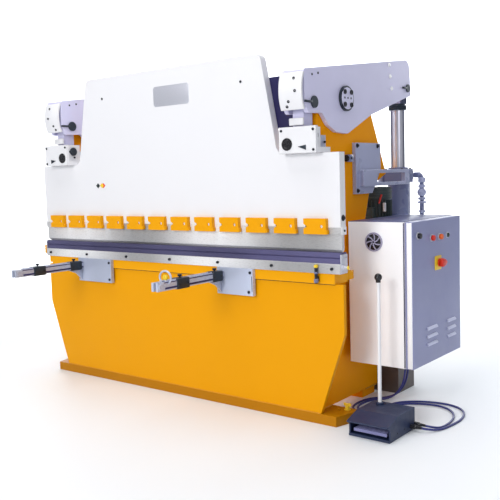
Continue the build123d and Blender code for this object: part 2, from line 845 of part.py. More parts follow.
fan_place = (cabinet_left + 164, cabinet_top - 112)
with BuildPart() as fan_grille:
    with BuildSketch(front_plane(cabinet_front)):
        with Locations(fan_place):
            Circle(54)
        for radius in (22, 34, 46):
            with Locations(fan_place):
                Circle(radius, mode=Mode.SUBTRACT)
                Circle(radius - 8)
        with Locations(fan_place):
            Rectangle(100, 5)
            Rectangle(5, 100)
    extrude(amount=6)
finish(fan_grille, "fan_grille")

gear_x = cabinet_left + cabinet_wall + 3.0
gear_plate = 4.0
# each device: where it starts and ends behind the cabinet front, then above its floor, and its depth
gear_devices = (
    (80, 560, 610, 710, 70),
    (80, 260, 410, 550, 90),
    (300, 560, 430, 530, 80),
    (80, 340, 130, 310, 110),
    (390, 560, 140, 270, 60),
)
with BuildPart() as control_gear:
    block(
        (gear_x, gear_x + gear_plate),
        (cabinet_front + 45, cabinet_back - 45),
        (cabinet_bottom + 50, cabinet_top - 50),
    )
    for y_from, y_to, z_from, z_to, depth in gear_devices:
        block(
            (gear_x + gear_plate, gear_x + gear_plate + depth),
            (cabinet_front + y_from, cabinet_front + y_to),
            (cabinet_bottom + z_from, cabinet_bottom + z_to),
        )
finish(control_gear, "control_gear")

with BuildPart() as cabinet_brackets:
    for z in (cabinet_bottom + 120, cabinet_bottom + 500):
        block((frame_outer, cabinet_left), (cabinet_front + 130, frame_depth - 20), (z, z + 60))
finish(cabinet_brackets, "cabinet_brackets")

# ---------------- back gauge ----------------
gauge_rod_x = 600.0
gauge_rod_z = table_height - 28.0
gauge_rod_radius = 15.0
gauge_rod_length = 460.0
gauge_half = 750.0
finger_x = 450.0
gauge_y = bed_plate_back + 280.0
with BuildPart() as gauge_rods:
    with BuildSketch(front_plane(flange_back)):
        with Locations((-gauge_rod_x, gauge_rod_z), (gauge_rod_x, gauge_rod_z)):
            Circle(gauge_rod_radius)
    extrude(amount=-gauge_rod_length)
finish(gauge_rods, "gauge_rods")

with BuildPart() as gauge_beam:
    block((-gauge_half, gauge_half), (gauge_y - 30, gauge_y + 30), (gauge_rod_z - 30, gauge_rod_z + 30))
    for x in (-finger_x, finger_x):
        block((x - 30, x + 30), (gauge_y - 30, gauge_y - 5), (gauge_rod_z + 30, die_top + 18))
    with BuildSketch(front_plane(gauge_y + 30)):
        with Locations((-gauge_rod_x, gauge_rod_z), (gauge_rod_x, gauge_rod_z)):
            Circle(gauge_rod_radius + fit_gap)
    extrude(amount=60, mode=Mode.SUBTRACT)
finish(gauge_beam, "gauge_beam")

# ---------------- front support arms ----------------
arm_top = table_height - 24.0
arm_bottom_z = arm_top - arm_height
bracket_low = table_height - arm_bracket_height
pad_front = flange_front - arm_bracket_thick
arms = {"left": (-850.0, 335.0), "right": (430.0, 270.0)}
slot_reach = 20.0
stud_radius = 8.0
with BuildPart() as support_brackets:
    for centre, width in arms.values():
        edge = centre - arm_width / 2 - 5
        block((edge, edge + width), (pad_front, flange_front), (bracket_low, table_height))
        with BuildSketch(front_plane(flange_front)):
            with Locations(Location((centre, arm_bottom_z + arm_height / 2), 90)):
                SlotOverall(2 * (stud_radius + slot_reach) + 2, 2 * stud_radius + 1)
        extrude(amount=arm_bracket_thick, mode=Mode.SUBTRACT)
finish(support_brackets, "support_brackets")

for hand, (centre, width) in arms.items():
    with BuildPart() as support_arm:
        face = pad_front - slide_gap
        block(
            (centre - arm_width / 2, centre + arm_width / 2),
            (face - arm_length, face),
            (arm_bottom_z, arm_top),
        )
        with BuildSketch(front_plane(face)):
            with Locations((centre, arm_bottom_z + arm_height / 2)):
                Circle(stud_radius)
        extrude(amount=-(arm_bracket_thick - 2))
        with BuildSketch(Plane.XY.offset(arm_bottom_z)):
            with Locations((centre, face - arm_length)):
                SlotCenterToCenter(120, 18, rotation=90)
        extrude(amount=arm_height, mode=Mode.SUBTRACT)
    finish(support_arm, f"{hand}_support_arm")

# ---------------- foot pedal ----------------
plate_thick = 10.0
tread_back = pedal_back - 60.0
tread_z = 34.0
tread_pin_radius = 4.0
with BuildPart() as pedal_base:
    block((pedal_left, pedal_right), (pedal_front, pedal_back), (0, 12))
    for x in (pedal_left + pedal_wall + 1, pedal_right - pedal_wall - 13):
        block((x, x + 12), (tread_back - 10, tread_back + 10), (12, tread_z + 10))
    with BuildSketch(side_plane(pedal_left + pedal_wall)):
        with Locations((tread_back, tread_z)):
            Circle(tread_pin_radius)
    extrude(amount=pedal_width - 2 * pedal_wall)
finish(pedal_base, "pedal_base")

with BuildPart() as pedal_hood:
    with BuildSketch(side_plane(pedal_left)):
        outline([
            (pedal_front + 4, 12),
            (pedal_back, 12),
            (pedal_back, pedal_height),
            (pedal_front + 90, pedal_height),
            (pedal_front - 24, pedal_height - 34),
            (pedal_front + 4, pedal_height - 56),
        ])
    extrude(amount=pedal_width)
    with BuildSketch(side_plane(pedal_left + pedal_wall)):
        outline([
            (pedal_front - 30, 11),
            (pedal_back - pedal_wall, 11),
            (pedal_back - pedal_wall, pedal_height - pedal_wall),
            (pedal_front + 92, pedal_height - pedal_wall),
            (pedal_front - 30, pedal_height - 45),
        ])
    extrude(amount=pedal_width - 2 * pedal_wall, mode=Mode.SUBTRACT)
finish(pedal_hood, "pedal_hood")

tread_half = pedal_width / 2 - pedal_wall - 16.0
pedal_mid = pedal_left + pedal_width / 2
with BuildPart() as pedal_tread:
    block(
        (pedal_mid - tread_half, pedal_mid + tread_half),
        (pedal_front + 12, tread_back + 12),
        (tread_z - 8, tread_z + 8),
    )
    cross_rod(
        tread_back, tread_z, tread_pin_radius + fit_gap, pedal_left, pedal_right, Mode.SUBTRACT
    )
finish(pedal_tread, "pedal_tread")

pole_x = pedal_left + 60.0
pole_y = pedal_back - 50.0
with BuildPart() as pedal_pole:
    with BuildSketch(Plane.XY.offset(pedal_height)):
        with Locations((pole_x, pole_y)):
            Circle(pole_radius)
    extrude(amount=pole_height - pedal_height)
finish(pedal_pole, "pedal_pole")

with BuildPart() as pole_knob:
    with Locations((pole_x, pole_y, pole_height + pole_ball_radius - 3)):
        Sphere(pole_ball_radius)
    with BuildSketch(Plane.XY.offset(pole_height - 10)):
        with Locations((pole_x, pole_y)):
            Circle(pole_radius + 3)
    extrude(amount=12)
    with BuildSketch(Plane.XY.offset(pole_height - 10)):
        with Locations((pole_x, pole_y)):
            Circle(pole_radius)
    extrude(amount=10, mode=Mode.SUBTRACT)
finish(pole_knob, "pole_knob")

# ---------------- pedal cables ----------------
floor_z = cable_radius + 0.3
gland_bottom = cabinet_bottom - gland_length
pedal_gland_x = pedal_right + gland_length
pedal_gland_z = 26.0
first_cable = [
    (1322, 600, gland_bottom),
    (1322, 600, 195),
    (1301, 600, 112),
    (1246, 602, 40),
    (1172, 598, floor_z),
    (1108, 556, floor_z),
    (1081, 480, floor_z),
    (1079, 388, floor_z),
    (1098, 318, floor_z),
    (1146, 279, floor_z),
    (1208, 277, floor_z),
    (1256, 313, floor_z),
    (1275, 375, floor_z),
    (1278, 458, floor_z),
    (1303, 532, floor_z),
    (1378, 590, floor_z),
    (1470, 622, floor_z),
    (1560, 606, floor_z),
    (1628, 543, floor_z),
    (1667, 460, floor_z),
    (1681, 378, floor_z),
    (1681, 306, floor_z),
    (1672, 254, 9),
    (1648, 216, 19),
    (1611, 199, pedal_gland_z),
    (pedal_gland_x, 199, pedal_gland_z),
]
second_cable = [
    (1322, 563, gland_bottom),
    (1322, 563, 195),
    (1302, 566, 114),
    (1250, 570, 42),
    (1182, 568, floor_z),
    (1131, 535, floor_z),
    (1108, 468, floor_z),
    (1107, 386, floor_z),
    (1122, 336, floor_z),
    (1158, 308, floor_z),
    (1203, 309, floor_z),
    (1238, 337, floor_z),
    (1251, 386, floor_z),
    (1254, 468, floor_z),
    (1272, 550, floor_z),
    (1345, 622, floor_z),
    (1440, 664, floor_z),
    (1545, 674, floor_z),
    (1635, 638, floor_z),
    (1691, 555, floor_z),
    (1713, 455, floor_z),
    (1709, 362, floor_z),
    (1697, 276, floor_z),
    (1674, 208, 10),
    (1643, 168, 20),
    (1612, 152, pedal_gland_z),
    (pedal_gland_x, 152, pedal_gland_z),
]


def bend_radii(points):
    """The largest arc that each corner's two runs leave room for."""
    radii = []
    for before, corner, after in zip(points, points[1:], points[2:]):
        run_in = Vector(*corner) - Vector(*before)
        run_out = Vector(*after) - Vector(*corner)
        turn = math.radians(run_in.get_angle(run_out))
        radii.append(0.45 * min(run_in.length, run_out.length) / math.tan(turn / 2))
    return radii


def cable_tube(points, label):
    radii = bend_radii(points)
    with BuildPart() as tube:
        with BuildLine() as route:
            path = FilletPolyline(*points, radius=radii)
        with BuildSketch(Plane(path @ 0, z_dir=path % 0)):
            Circle(cable_radius)
        sweep(path=route.line)
    expected = math.pi * cable_radius**2 * path.length
    print(label, "radii", [round(radius) for radius in radii])
    print(label, "length", round(path.length), "volume ratio", tube.part.volume / expected)
    finish(tube, label)


cable_tube(first_cable, "inner_pedal_cable")
cable_tube(second_cable, "outer_pedal_cable")

gland_radius = 13.0
with BuildPart() as cable_glands:
    for x, y, z in (first_cable[0], second_cable[0]):
        with BuildSketch(Plane.XY.offset(gland_bottom)):
            with Locations((x, y)):
                RegularPolygon(gland_radius, 6)
        extrude(amount=gland_length)
    for x, y, z in (first_cable[-1], second_cable[-1]):
        with BuildSketch(side_plane(pedal_right)):
            with Locations((y, z)):
                RegularPolygon(gland_radius, 6)
        extrude(amount=gland_length)
finish(cable_glands, "cable_glands")

print("lever swing", math.degrees(lever_swing), "rod drop", rod_drop)
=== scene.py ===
import json
import math
import bmesh
import bpy
from mathutils import Matrix, Vector


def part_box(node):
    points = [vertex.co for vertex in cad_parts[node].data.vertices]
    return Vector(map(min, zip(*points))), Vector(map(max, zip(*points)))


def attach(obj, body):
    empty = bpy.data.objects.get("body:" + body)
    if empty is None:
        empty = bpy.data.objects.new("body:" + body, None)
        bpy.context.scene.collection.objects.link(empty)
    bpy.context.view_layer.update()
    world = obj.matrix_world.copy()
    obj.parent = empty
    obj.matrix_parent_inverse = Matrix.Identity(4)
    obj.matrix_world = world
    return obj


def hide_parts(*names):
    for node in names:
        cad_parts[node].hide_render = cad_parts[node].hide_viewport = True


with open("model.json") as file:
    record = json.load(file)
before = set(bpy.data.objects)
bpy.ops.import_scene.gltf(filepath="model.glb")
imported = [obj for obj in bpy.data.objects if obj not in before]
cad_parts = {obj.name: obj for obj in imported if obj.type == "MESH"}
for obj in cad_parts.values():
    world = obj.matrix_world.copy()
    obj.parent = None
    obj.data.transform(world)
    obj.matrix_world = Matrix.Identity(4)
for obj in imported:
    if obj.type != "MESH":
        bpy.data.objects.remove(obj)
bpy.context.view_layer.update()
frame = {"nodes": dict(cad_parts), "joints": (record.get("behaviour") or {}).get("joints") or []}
nodes = frame["nodes"]
anchors = {joint["name"]: Vector(joint["pos_m"]) for joint in frame["joints"] if joint["type"] == "hinge"}
hands = {"right": 1, "left": -1}  # which way is outward along X
upward, toFront, toBack, toRight = (0, 0, 1), (0, -1, 0), (0, 1, 0), (1, 0, 0)


# camera, lights and floor
shot = {
    "place": (3.3245, -3.4273, 1.3802),
    "turn": (84.406, 1.761, 38.118),  # degrees about X, Y, Z
    "lens": 54.144,
    "sensor": 36,
    "farthest": 200,
}

camera = bpy.data.objects.new("camera", bpy.data.cameras.new("camera"))
camera.location = shot["place"]
camera.rotation_euler = [math.radians(a) for a in shot["turn"]]
camera.data.lens = shot["lens"]
camera.data.sensor_width = shot["sensor"]
camera.data.clip_end = shot["farthest"]
bpy.context.scene.collection.objects.link(camera)
bpy.context.scene.camera = camera

studio = {
    "world": 0.4,
    "sky": (0.93, 0.95, 1.0),
    "floor": (0.86, 0.885, 0.905),
    "floorTurn": 38,  # degrees, so that the wall faces the camera
    "lamps": [  # name, place, aim, size, watts, colour
        ("front", (0.9, -7.0, 3.4), (0.2, 0, 1.0), 2.8, 255, (1.0, 0.99, 0.98)),
        ("overhead", (0.2, -0.6, 5.6), (0, 0.2, 0.8), 4.2, 150, (1.0, 1.0, 1.0)),
        ("side", (5.2, -2.0, 2.6), (1.0, 0.5, 0.9), 2.4, 20, (0.92, 0.91, 1.0)),
        ("back", (1.5, 6.0, 3.4), (0, 0.4, 1.0), 3.0, 110, (0.95, 0.97, 1.0)),
        ("wall", (-2.5, 3.0, 5.5), (-6.5, 8.5, 3.0), 5.0, 1300, (1.0, 1.0, 1.0)),
    ],
}


def lightStudio(values):
    world = bpy.data.worlds.new("studio")
    world.use_nodes = True
    background = world.node_tree.nodes["Background"]
    background.inputs["Color"].default_value = (*values["sky"], 1)
    background.inputs["Strength"].default_value = values["world"]
    bpy.context.scene.world = world
    for name, place, aim, size, watts, colour in values["lamps"]:
        lamp = bpy.data.objects.new(name + "Lamp", bpy.data.lights.new(name + "Lamp", "AREA"))
        lamp.data.shape = "DISK"
        lamp.data.size = size
        lamp.data.energy = watts
        lamp.data.color = colour
        lamp.location = place
        lamp.rotation_euler = (Vector(aim) - Vector(place)).to_track_quat("-Z", "Y").to_euler()
        bpy.context.scene.collection.objects.link(lamp)


lightStudio(studio)
bpy.context.scene.view_settings.view_transform = "Standard"
bpy.context.scene.view_settings.look = "None"
print("camera and studio set")


# finishes
class Finish:
    # one material while its nodes are being wired
    def __init__(self, colour, roughness, metallic=0.0):
        self.material = bpy.data.materials.new("finish")
        self.material.use_nodes = True
        self.material.diffuse_color = (*colour, 1)
        self.tree = self.material.node_tree
        self.shader = self.tree.nodes["Principled BSDF"]
        self.shader.inputs["Base Color"].default_value = (*colour, 1)
        self.shader.inputs["Roughness"].default_value = roughness
        self.shader.inputs["Metallic"].default_value = metallic
        self.place = self.add("ShaderNodeTexCoord").outputs["Object"]

    def add(self, kind, **settings):
        made = self.tree.nodes.new(kind)
        for key, value in settings.items():
            setattr(made, key, value)
        return made

    def link(self, source, target):
        # target is a socket, or the name of one on the shader
        target = self.shader.inputs[target] if isinstance(target, str) else target
        self.tree.links.new(source, target)

    def noise(self, scale, detail=2.0, stretch=(1, 1, 1)):
        # noise over the piece in metres; stretch squeezes it along an axis
        mapping = self.add("ShaderNodeMapping")
        mapping.inputs["Scale"].default_value = stretch
        self.link(self.place, mapping.inputs["Vector"])
        noise = self.add("ShaderNodeTexNoise")
        noise.inputs["Scale"].default_value = scale
        noise.inputs["Detail"].default_value = detail
        self.link(mapping.outputs["Vector"], noise.inputs["Vector"])
        return noise.outputs["Fac"]

    def spread(self, source, low, high, fromLow=0.3, fromHigh=0.7):
        ranged = self.add("ShaderNodeMapRange")
        limits = {"From Min": fromLow, "From Max": fromHigh, "To Min": low, "To Max": high}
        for socket, value in limits.items():
            ranged.inputs[socket].default_value = value
        self.link(source, ranged.inputs["Value"])
        return ranged.outputs["Result"]

    def blend(self, factor, first, second):
        # first and second are colours or sockets
        mix = self.add("ShaderNodeMix", data_type="RGBA")
        self.link(factor, mix.inputs[0])
        for socket, value in ((mix.inputs[6], first), (mix.inputs[7], second)):
            if isinstance(value, bpy.types.NodeSocket):
                self.link(value, socket)
            else:
                socket.default_value = (*value, 1)
        return mix.outputs[2]

    def edges(self, radius):
        # 0 on open faces, rising to 1 along corners
        bevel = self.add("ShaderNodeBevel", samples=4)
        bevel.inputs["Radius"].default_value = radius
        geometry = self.add("ShaderNodeNewGeometry")
        dot = self.add("ShaderNodeVectorMath", operation="DOT_PRODUCT")
        self.link(bevel.outputs["Normal"], dot.inputs[0])
        self.link(geometry.outputs["Normal"], dot.inputs[1])
        return self.spread(dot.outputs["Value"], 1.0, 0.0, 0.8, 0.985), bevel.outputs["Normal"]

    def bump(self, height, strength, distance, normal=None):
        bump = self.add("ShaderNodeBump")
        bump.inputs["Strength"].default_value = strength
        bump.inputs["Distance"].default_value = distance
        self.link(height, bump.inputs["Height"])
        if normal:
            self.link(normal, bump.inputs["Normal"])
        self.link(bump.outputs["Normal"], "Normal")

    def layer(self, tones, mottle, rim, gloss, grain):
        # two tones mottled together, a corner tone and its radius, uneven gloss, and a fine grain
        base, soft = self.blend(self.noise(*mottle), *tones), None
        if rim:
            corner, soft = self.edges(rim[1])
            base = self.blend(corner, base, rim[0])
        self.link(base, "Base Color")
        if gloss:
            self.link(self.spread(self.noise(*gloss[:2]), *gloss[2:]), "Roughness")
        self.bump(self.noise(*grain[:2]), *grain[2:], soft)
        return self.material


def tint(colour, amount):
    # lighter above 1, darker below
    return tuple(min(1.0, c * amount) for c in colour)


def paint(colour, roughness=0.36, edge=1.12, cloud=0.05, edgeRadius=0.004, coat=0.06, shine=0.28):
    # sprayed enamel: faint clouding, orange peel, and corners toned by edge: lighter above 1 as a painted
    # highlight, darker below 1 as a painted outline shade
    f = Finish(colour, roughness)
    f.shader.inputs["Coat Weight"].default_value = coat
    f.shader.inputs["Specular IOR Level"].default_value = shine
    f.shader.inputs["Coat Roughness"].default_value = 0.18
    return f.layer((tint(colour, 1 - cloud), tint(colour, 1 + cloud)), (2.2, 3),
                   (tint(colour, edge), edgeRadius), (9, 4, roughness - 0.06, roughness + 0.08),
                   (420, 1, 0.1, 0.0006))


def groundSteel(colour, roughness=0.3, along=(1, 18, 18), bands=0.35, metallic=1.0, period=0.0, crest=0.0):
    # ground or brushed bar: grain runs along the piece and the tone drifts with it at random, except that a
    # period gives painted reflection bands instead
    f = Finish(colour, roughness, metallic)
    grain = f.noise(38, 5, along)
    if period:  # painted reflection bands: light and dark across the bar, one light crest at x = crest
        reflectionWave = f.add("ShaderNodeTexWave", bands_direction="X")
        reflectionWave.inputs["Scale"].default_value = 2 * math.pi / 20 / period
        reflectionWave.inputs["Phase Offset"].default_value = math.pi - 2 * math.pi * crest / period
        reflectionWave.inputs["Distortion"].default_value = 0.4
        reflectionWave.inputs["Detail"].default_value = 0
        f.link(f.place, reflectionWave.inputs["Vector"])
        driftAndReflection = f.spread(reflectionWave.outputs["Fac"], 0, 1, 0.05, 0.95)
    else:
        driftAndReflection = f.spread(f.noise(1.15, 2, (1, 0.2, 0.2)), 0, 1, 0.36, 0.62)
    toned = f.blend(driftAndReflection, tint(colour, 1 - bands), colour)
    toned = f.blend(f.spread(grain, 0, 0.14), toned, tint(colour, 0.72))
    rim, soft = f.edges(0.0015)
    f.link(f.blend(rim, toned, tint(colour, 1.25)), "Base Color")
    f.link(f.spread(grain, roughness - 0.07, roughness + 0.1), "Roughness")
    f.bump(grain, 0.12, 0.0004, soft)
    return f.material


def chrome(colour, shade, roughness=0.1):
    # polished rod with a painted dark reflection towards its edges
    f = Finish(colour, roughness, 0.65)
    wear = f.noise(30, 4, (14, 14, 1))
    f.shader.inputs["Specular Tint"].default_value = (0.22, 0.24, 0.34, 1)
    worn = f.blend(f.spread(wear, 0, 0.4), colour, tint(colour, 0.7))
    facing = f.add("ShaderNodeLayerWeight")
    facing.inputs["Blend"].default_value = 0.45
    # painted dark reflection, rising towards the rod's edges as it turns from view
    dark = f.spread(facing.outputs["Facing"], 0, 0.95, 0.12, 0.55)
    f.link(f.blend(dark, worn, shade), "Base Color")
    f.link(f.spread(wear, roughness, roughness + 0.12), "Roughness")
    f.bump(wear, 0.05, 0.0002)
    return f.material


def blackOxide(colour, roughness=0.42):
    # oiled fastener black with lighter corners
    return Finish(colour, roughness, 0.6).layer(
        (tint(colour, 0.75), tint(colour, 1.35)), (60, 3), (tint(colour, 3.0), 0.0012),
        None, (300, 2, 0.12, 0.0003))


def plastic(colour, roughness=0.33, depth=0.08):
    f = Finish(colour, roughness)
    f.shader.inputs["Specular IOR Level"].default_value = 0.5
    return f.layer((tint(colour, 0.92), tint(colour, 1.06)), (25, 3), None,
                   (60, 2, roughness - 0.05, roughness + 0.07), (500, 2, depth, 0.0003))


def castPaint(colour, sheen, grain=140, depth=0.35, roughness=0.45):
    # paint over a rough casting, mottled with a second tone as a painted sheen, and corners lighter still as a
    # painted highlight
    return Finish(colour, roughness).layer(
        (tint(colour, 0.75), sheen), (5, 4), (tint(sheen, 1.5), 0.003),
        (20, 3, roughness - 0.08, roughness + 0.1), (grain, 3, depth, 0.0007))


def rubber(colour):
    return Finish(colour, 0.42).layer(
        (tint(colour, 0.8), tint(colour, 1.25)), (40, 3), None, (90, 2, 0.34, 0.52), (700, 2, 0.15, 0.0003))


finishes = {  # the CAD's slots first, then finishes of the added pieces
    "frame_paint": paint((0.93, 0.345, 0.002), edge=1.1, coat=0.0, shine=0.03),
    "apron_paint": paint((0.795, 0.34, 0.0005), cloud=0.02, coat=0.0, shine=0.1),
    "flange_paint": paint((0.84, 0.368, 0.001), cloud=0.02, coat=0.0, shine=0.12),
    "clamp_paint": paint((0.81, 0.35, 0.001), edgeRadius=0.002, edge=1.1, coat=0.0, shine=0.14),
    "ram_paint": paint((0.79, 0.79, 0.815), cloud=0.012, edge=0.66, edgeRadius=0.005),
    "lever_paint": paint((0.66, 0.645, 0.86), cloud=0.14, edge=1.25, roughness=0.34, coat=0.2, shine=0.5),
    "yoke_paint": paint((0.36, 0.385, 0.56), cloud=0.22, edge=1.8, roughness=0.3, coat=0.3, shine=0.5),
    "barrel_paint": paint((0.15, 0.17, 0.31), cloud=0.25, edge=2.0, roughness=0.26, coat=0.4, shine=0.5),
    "cabinet_paint": paint((0.955, 0.96, 0.975), cloud=0.02, edge=0.92, edgeRadius=0.003),
    # blue-grey door paint, darkened further as painted shade on the cabinet's right-hand side
    "door_paint": paint((0.25, 0.268, 0.47), cloud=0.1, edge=1.25, coat=0.25, shine=0.5),
    "tank_paint": castPaint((0.085, 0.072, 0.07), (0.13, 0.105, 0.1), grain=60, depth=0.15),
    "motor_paint": castPaint((0.03, 0.052, 0.045), (0.06, 0.085, 0.09)),
    "pedal_paint": castPaint((0.01, 0.014, 0.075), (0.022, 0.046, 0.105), grain=180, depth=0.25),
    "pole_paint": paint((0.86, 0.86, 0.88), edgeRadius=0.001, cloud=0.02),
    "jack_paint": castPaint((0.9, 0.56, 0.015), (0.92, 0.62, 0.03), grain=200, depth=0.15),
    # the punch's light and dark bands are painted reflection
    "tool_steel": groundSteel((0.9, 0.9, 0.91), bands=0.62, metallic=0.22, period=1.25, crest=0.34),
    "die_steel": groundSteel((0.12, 0.112, 0.245), roughness=0.34, bands=0.5, metallic=0.3),
    "pin_steel": blackOxide((0.03, 0.04, 0.055)),
    "fastener_steel": blackOxide((0.022, 0.024, 0.032)),
    # the second colour is the painted dark reflection at the rod's edges
    "rod_chrome": chrome((0.74, 0.75, 0.84), (0.03, 0.036, 0.085)),
    "arm_steel": groundSteel((0.64, 0.7, 0.88), along=(14, 1, 14), bands=0.45, roughness=0.26, metallic=0.15),
    "gear_plastic": plastic((0.33, 0.34, 0.35)),
    "black_plastic": plastic((0.012, 0.012, 0.016), roughness=0.26),
    "red_plastic": plastic((0.74, 0.03, 0.012)),
    "orange_plastic": plastic((0.88, 0.14, 0.015)),
    "cable_sheath": rubber((0.024, 0.029, 0.175)),
    "gibSteel": groundSteel((0.55, 0.57, 0.72), along=(14, 14, 1), bands=0.1),
    "zincPlate": groundSteel((0.6, 0.61, 0.68), along=(4, 4, 4), bands=0.08, roughness=0.36, metallic=0.4),
    "whiteNylon": plastic((0.95, 0.95, 0.96)),
    "yellowPlastic": plastic((0.9, 0.62, 0.02)),
    "darkGlass": plastic((0.02, 0.03, 0.028), roughness=0.12, depth=0.02),
    "grilleSteel": castPaint((0.3, 0.28, 0.42), (0.46, 0.44, 0.6), grain=300, depth=0.1),
    "frameWeld": castPaint((0.72, 0.29, 0.01), (0.8, 0.34, 0.01), grain=260, depth=0.6),
    "redTrim": plastic((0.78, 0.045, 0.03)),
    # dark navy sheet as painted shade on the cabinet's top
    "cabinetLid": paint((0.095, 0.105, 0.225), cloud=0.06),
    # darker copy of the orange paint: painted shade on the base plate
    "baseOrange": paint((0.47, 0.185, 0.002), edge=1.3, coat=0.0, shine=0.12),
    # lighter copy of the door paint: painted highlight on the louvre hoods
    "hoodPaint": paint((0.66, 0.68, 0.88), edge=1.2, edgeRadius=0.002),
    # dark navy: painted shade on the shoulder panel and arm grooves, and the dark door joint
    "navyGuard": paint((0.02, 0.017, 0.075), cloud=0.2, edge=2.0),
    "treadPaint": castPaint((0.2, 0.2, 0.44), (0.32, 0.33, 0.6), grain=160, depth=0.2),
}
nodeLooks = {  # parts that differ from their slot
    "guide_gibs": "gibSteel",
    "valve_block": "zincPlate",
    "fan_grille": "grilleSteel",
    "support_brackets": "arm_steel",
    "base_plate": "baseOrange",
    "pedal_tread": "treadPaint",
}


def dressNodes():
    # the CAD parts keep their shape and take these finishes
    for look, material in finishes.items():
        first, *others = look.split("_")
        material.name = first + "".join(word.capitalize() for word in others)
    for name, part in nodes.items():
        for materialSlot in part.material_slots:
            slotName = materialSlot.material.name.split(".")[0]
            materialSlot.material = finishes[nodeLooks.get(name, slotName)]


dressNodes()
print("finishes on", len(nodes), "parts")


def layFloor(values, reach=9.0, wallBack=7.0, curve=3.0, wallHigh=9.0):
    # one sheet: level floor, a wide curve and a wall behind
    f = Finish(values["floor"], 0.55)
    f.material.name = "studioFloor"
    clouded = f.blend(f.noise(0.6, 2), tint(values["floor"], 0.985), tint(values["floor"], 1.015))
    f.link(clouded, "Base Color")
    mesh = bmesh.new()
    profile = [(-reach - 6, 0.0), (wallBack, 0.0)]
    for step in range(1, 11):
        turn = math.radians(step * 9)
        profile.append((wallBack + curve * math.sin(turn), curve - curve * math.cos(turn)))
    profile.append((wallBack + curve, wallHigh))
    rows = [[mesh.verts.new((x, y, z)) for y, z in profile] for x in (-3 * reach, 3 * reach)]
    for i in range(len(profile) - 1):
        mesh.faces.new((rows[0][i], rows[1][i], rows[1][i + 1], rows[0][i + 1]))
    data = bpy.data.meshes.new("studioFloor")
    mesh.to_mesh(data)
    mesh.free()
    data.materials.append(f.material)
    for face in data.polygons:
        face.use_smooth = True
    floor = bpy.data.objects.new("studioFloor", data)
    floor.matrix_world = Matrix.Rotation(math.radians(values["floorTurn"]), 4, "Z")
    bpy.context.scene.collection.objects.link(floor)


layFloor(studio)


# mesh tools
def newMeshes(count):
    return [bmesh.new() for _ in range(count)]


def centreOf(name):
    low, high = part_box(name)
    return Vector([(a + b) / 2 for a, b in zip(low, high)])


def bevelEdges(mesh, edges, soft):
    bmesh.ops.bevel(mesh, geom=list(edges), offset=soft, segments=2, profile=0.5, affect="EDGES")


def addBlock(mesh, low, high, soft=0.0015):
    # box between two corners with rounded edges
    low, high = [min(a, b) for a, b in zip(low, high)], [max(a, b) for a, b in zip(low, high)]
    made = bmesh.ops.create_cube(mesh, size=1)["verts"]
    size = Vector(high) - Vector(low)
    bmesh.ops.scale(mesh, vec=size, verts=made)
    bmesh.ops.translate(mesh, vec=(Vector(low) + Vector(high)) / 2, verts=made)
    bevelEdges(mesh, {edge for vert in made for edge in vert.link_edges}, min(soft, 0.35 * min(size)))


def arcPoints(centre, radius, start, end, count):
    # points on an arc, angles in degrees
    turns = [math.radians(start + (end - start) * i / (count - 1)) for i in range(count)]
    return [(centre[0] + radius * math.cos(a), centre[1] + radius * math.sin(a)) for a in turns]


def ringPoints(radius, steps, shape="round"):
    # a circle, or a hexagon of that half width across its flats
    points = []
    for i in range(steps):
        angle = 2 * math.pi * i / steps
        reach = radius
        if shape == "hex":
            reach = radius / math.cos((angle % (math.pi / 3)) - math.pi / 6)
        points.append((reach * math.cos(angle), reach * math.sin(angle)))
    return points


def domeRings(radius, high, angles, base=0.0):
    # rings over a dome or a ball, from angles in degrees
    turns = [math.radians(a) for a in angles]
    return [(radius * math.cos(a), base + high * math.sin(a)) for a in turns]


def turnTo(along):
    return Vector(along).normalized().to_track_quat("Z", "Y").to_matrix()


def addTurned(mesh, foot, along, rings, steps=24):
    # turned shape from (radius, height) rings up its axis; a third value "hex" makes that ring six-sided
    turn, foot = turnTo(along), Vector(foot)
    loops = []
    for radius, height, *shape in rings:
        spots = ringPoints(radius, steps, *shape) if radius > 0 else [(0, 0)]
        loops.append([mesh.verts.new(foot + turn @ Vector((x, y, height))) for x, y in spots])
    for lower, upper in zip(loops, loops[1:]):
        for i in range(steps):
            j = (i + 1) % steps
            corners = [lower[i % len(lower)], lower[j % len(lower)]]
            corners += [upper[j % len(upper)], upper[i % len(upper)]]
            unique = list(dict.fromkeys(corners))
            if len(unique) > 2:
                mesh.faces.new(unique)
    if len(loops[0]) > 1:
        mesh.faces.new(list(reversed(loops[0])))
    if len(loops[-1]) > 1:
        mesh.faces.new(loops[-1])


def skinLoops(mesh, loops, closed=False):
    # walls from loop to loop, and a face on each end unless they close on themselves
    for lower, upper in zip(loops, loops[1:] + (loops[:1] if closed else [])):
        for i in range(len(lower)):
            j = (i + 1) % len(lower)
            mesh.faces.new((lower[i], lower[j], upper[j], upper[i]))
    if not closed:
        mesh.faces.new(list(reversed(loops[0])))
        mesh.faces.new(loops[-1])


def addCollar(mesh, foot, along, inner, outer, high, soft=0.002, steps=32):
    # ring with an open bore and eased corners
    profile = [(inner, 0), (outer, 0), (outer, high - soft), (outer - soft, high), (inner, high)]
    turn, foot = turnTo(along), Vector(foot)
    loops = [[mesh.verts.new(foot + turn @ Vector((x, y, rise))) for x, y in ringPoints(radius, steps)]
             for radius, rise in profile]
    skinLoops(mesh, loops, closed=True)


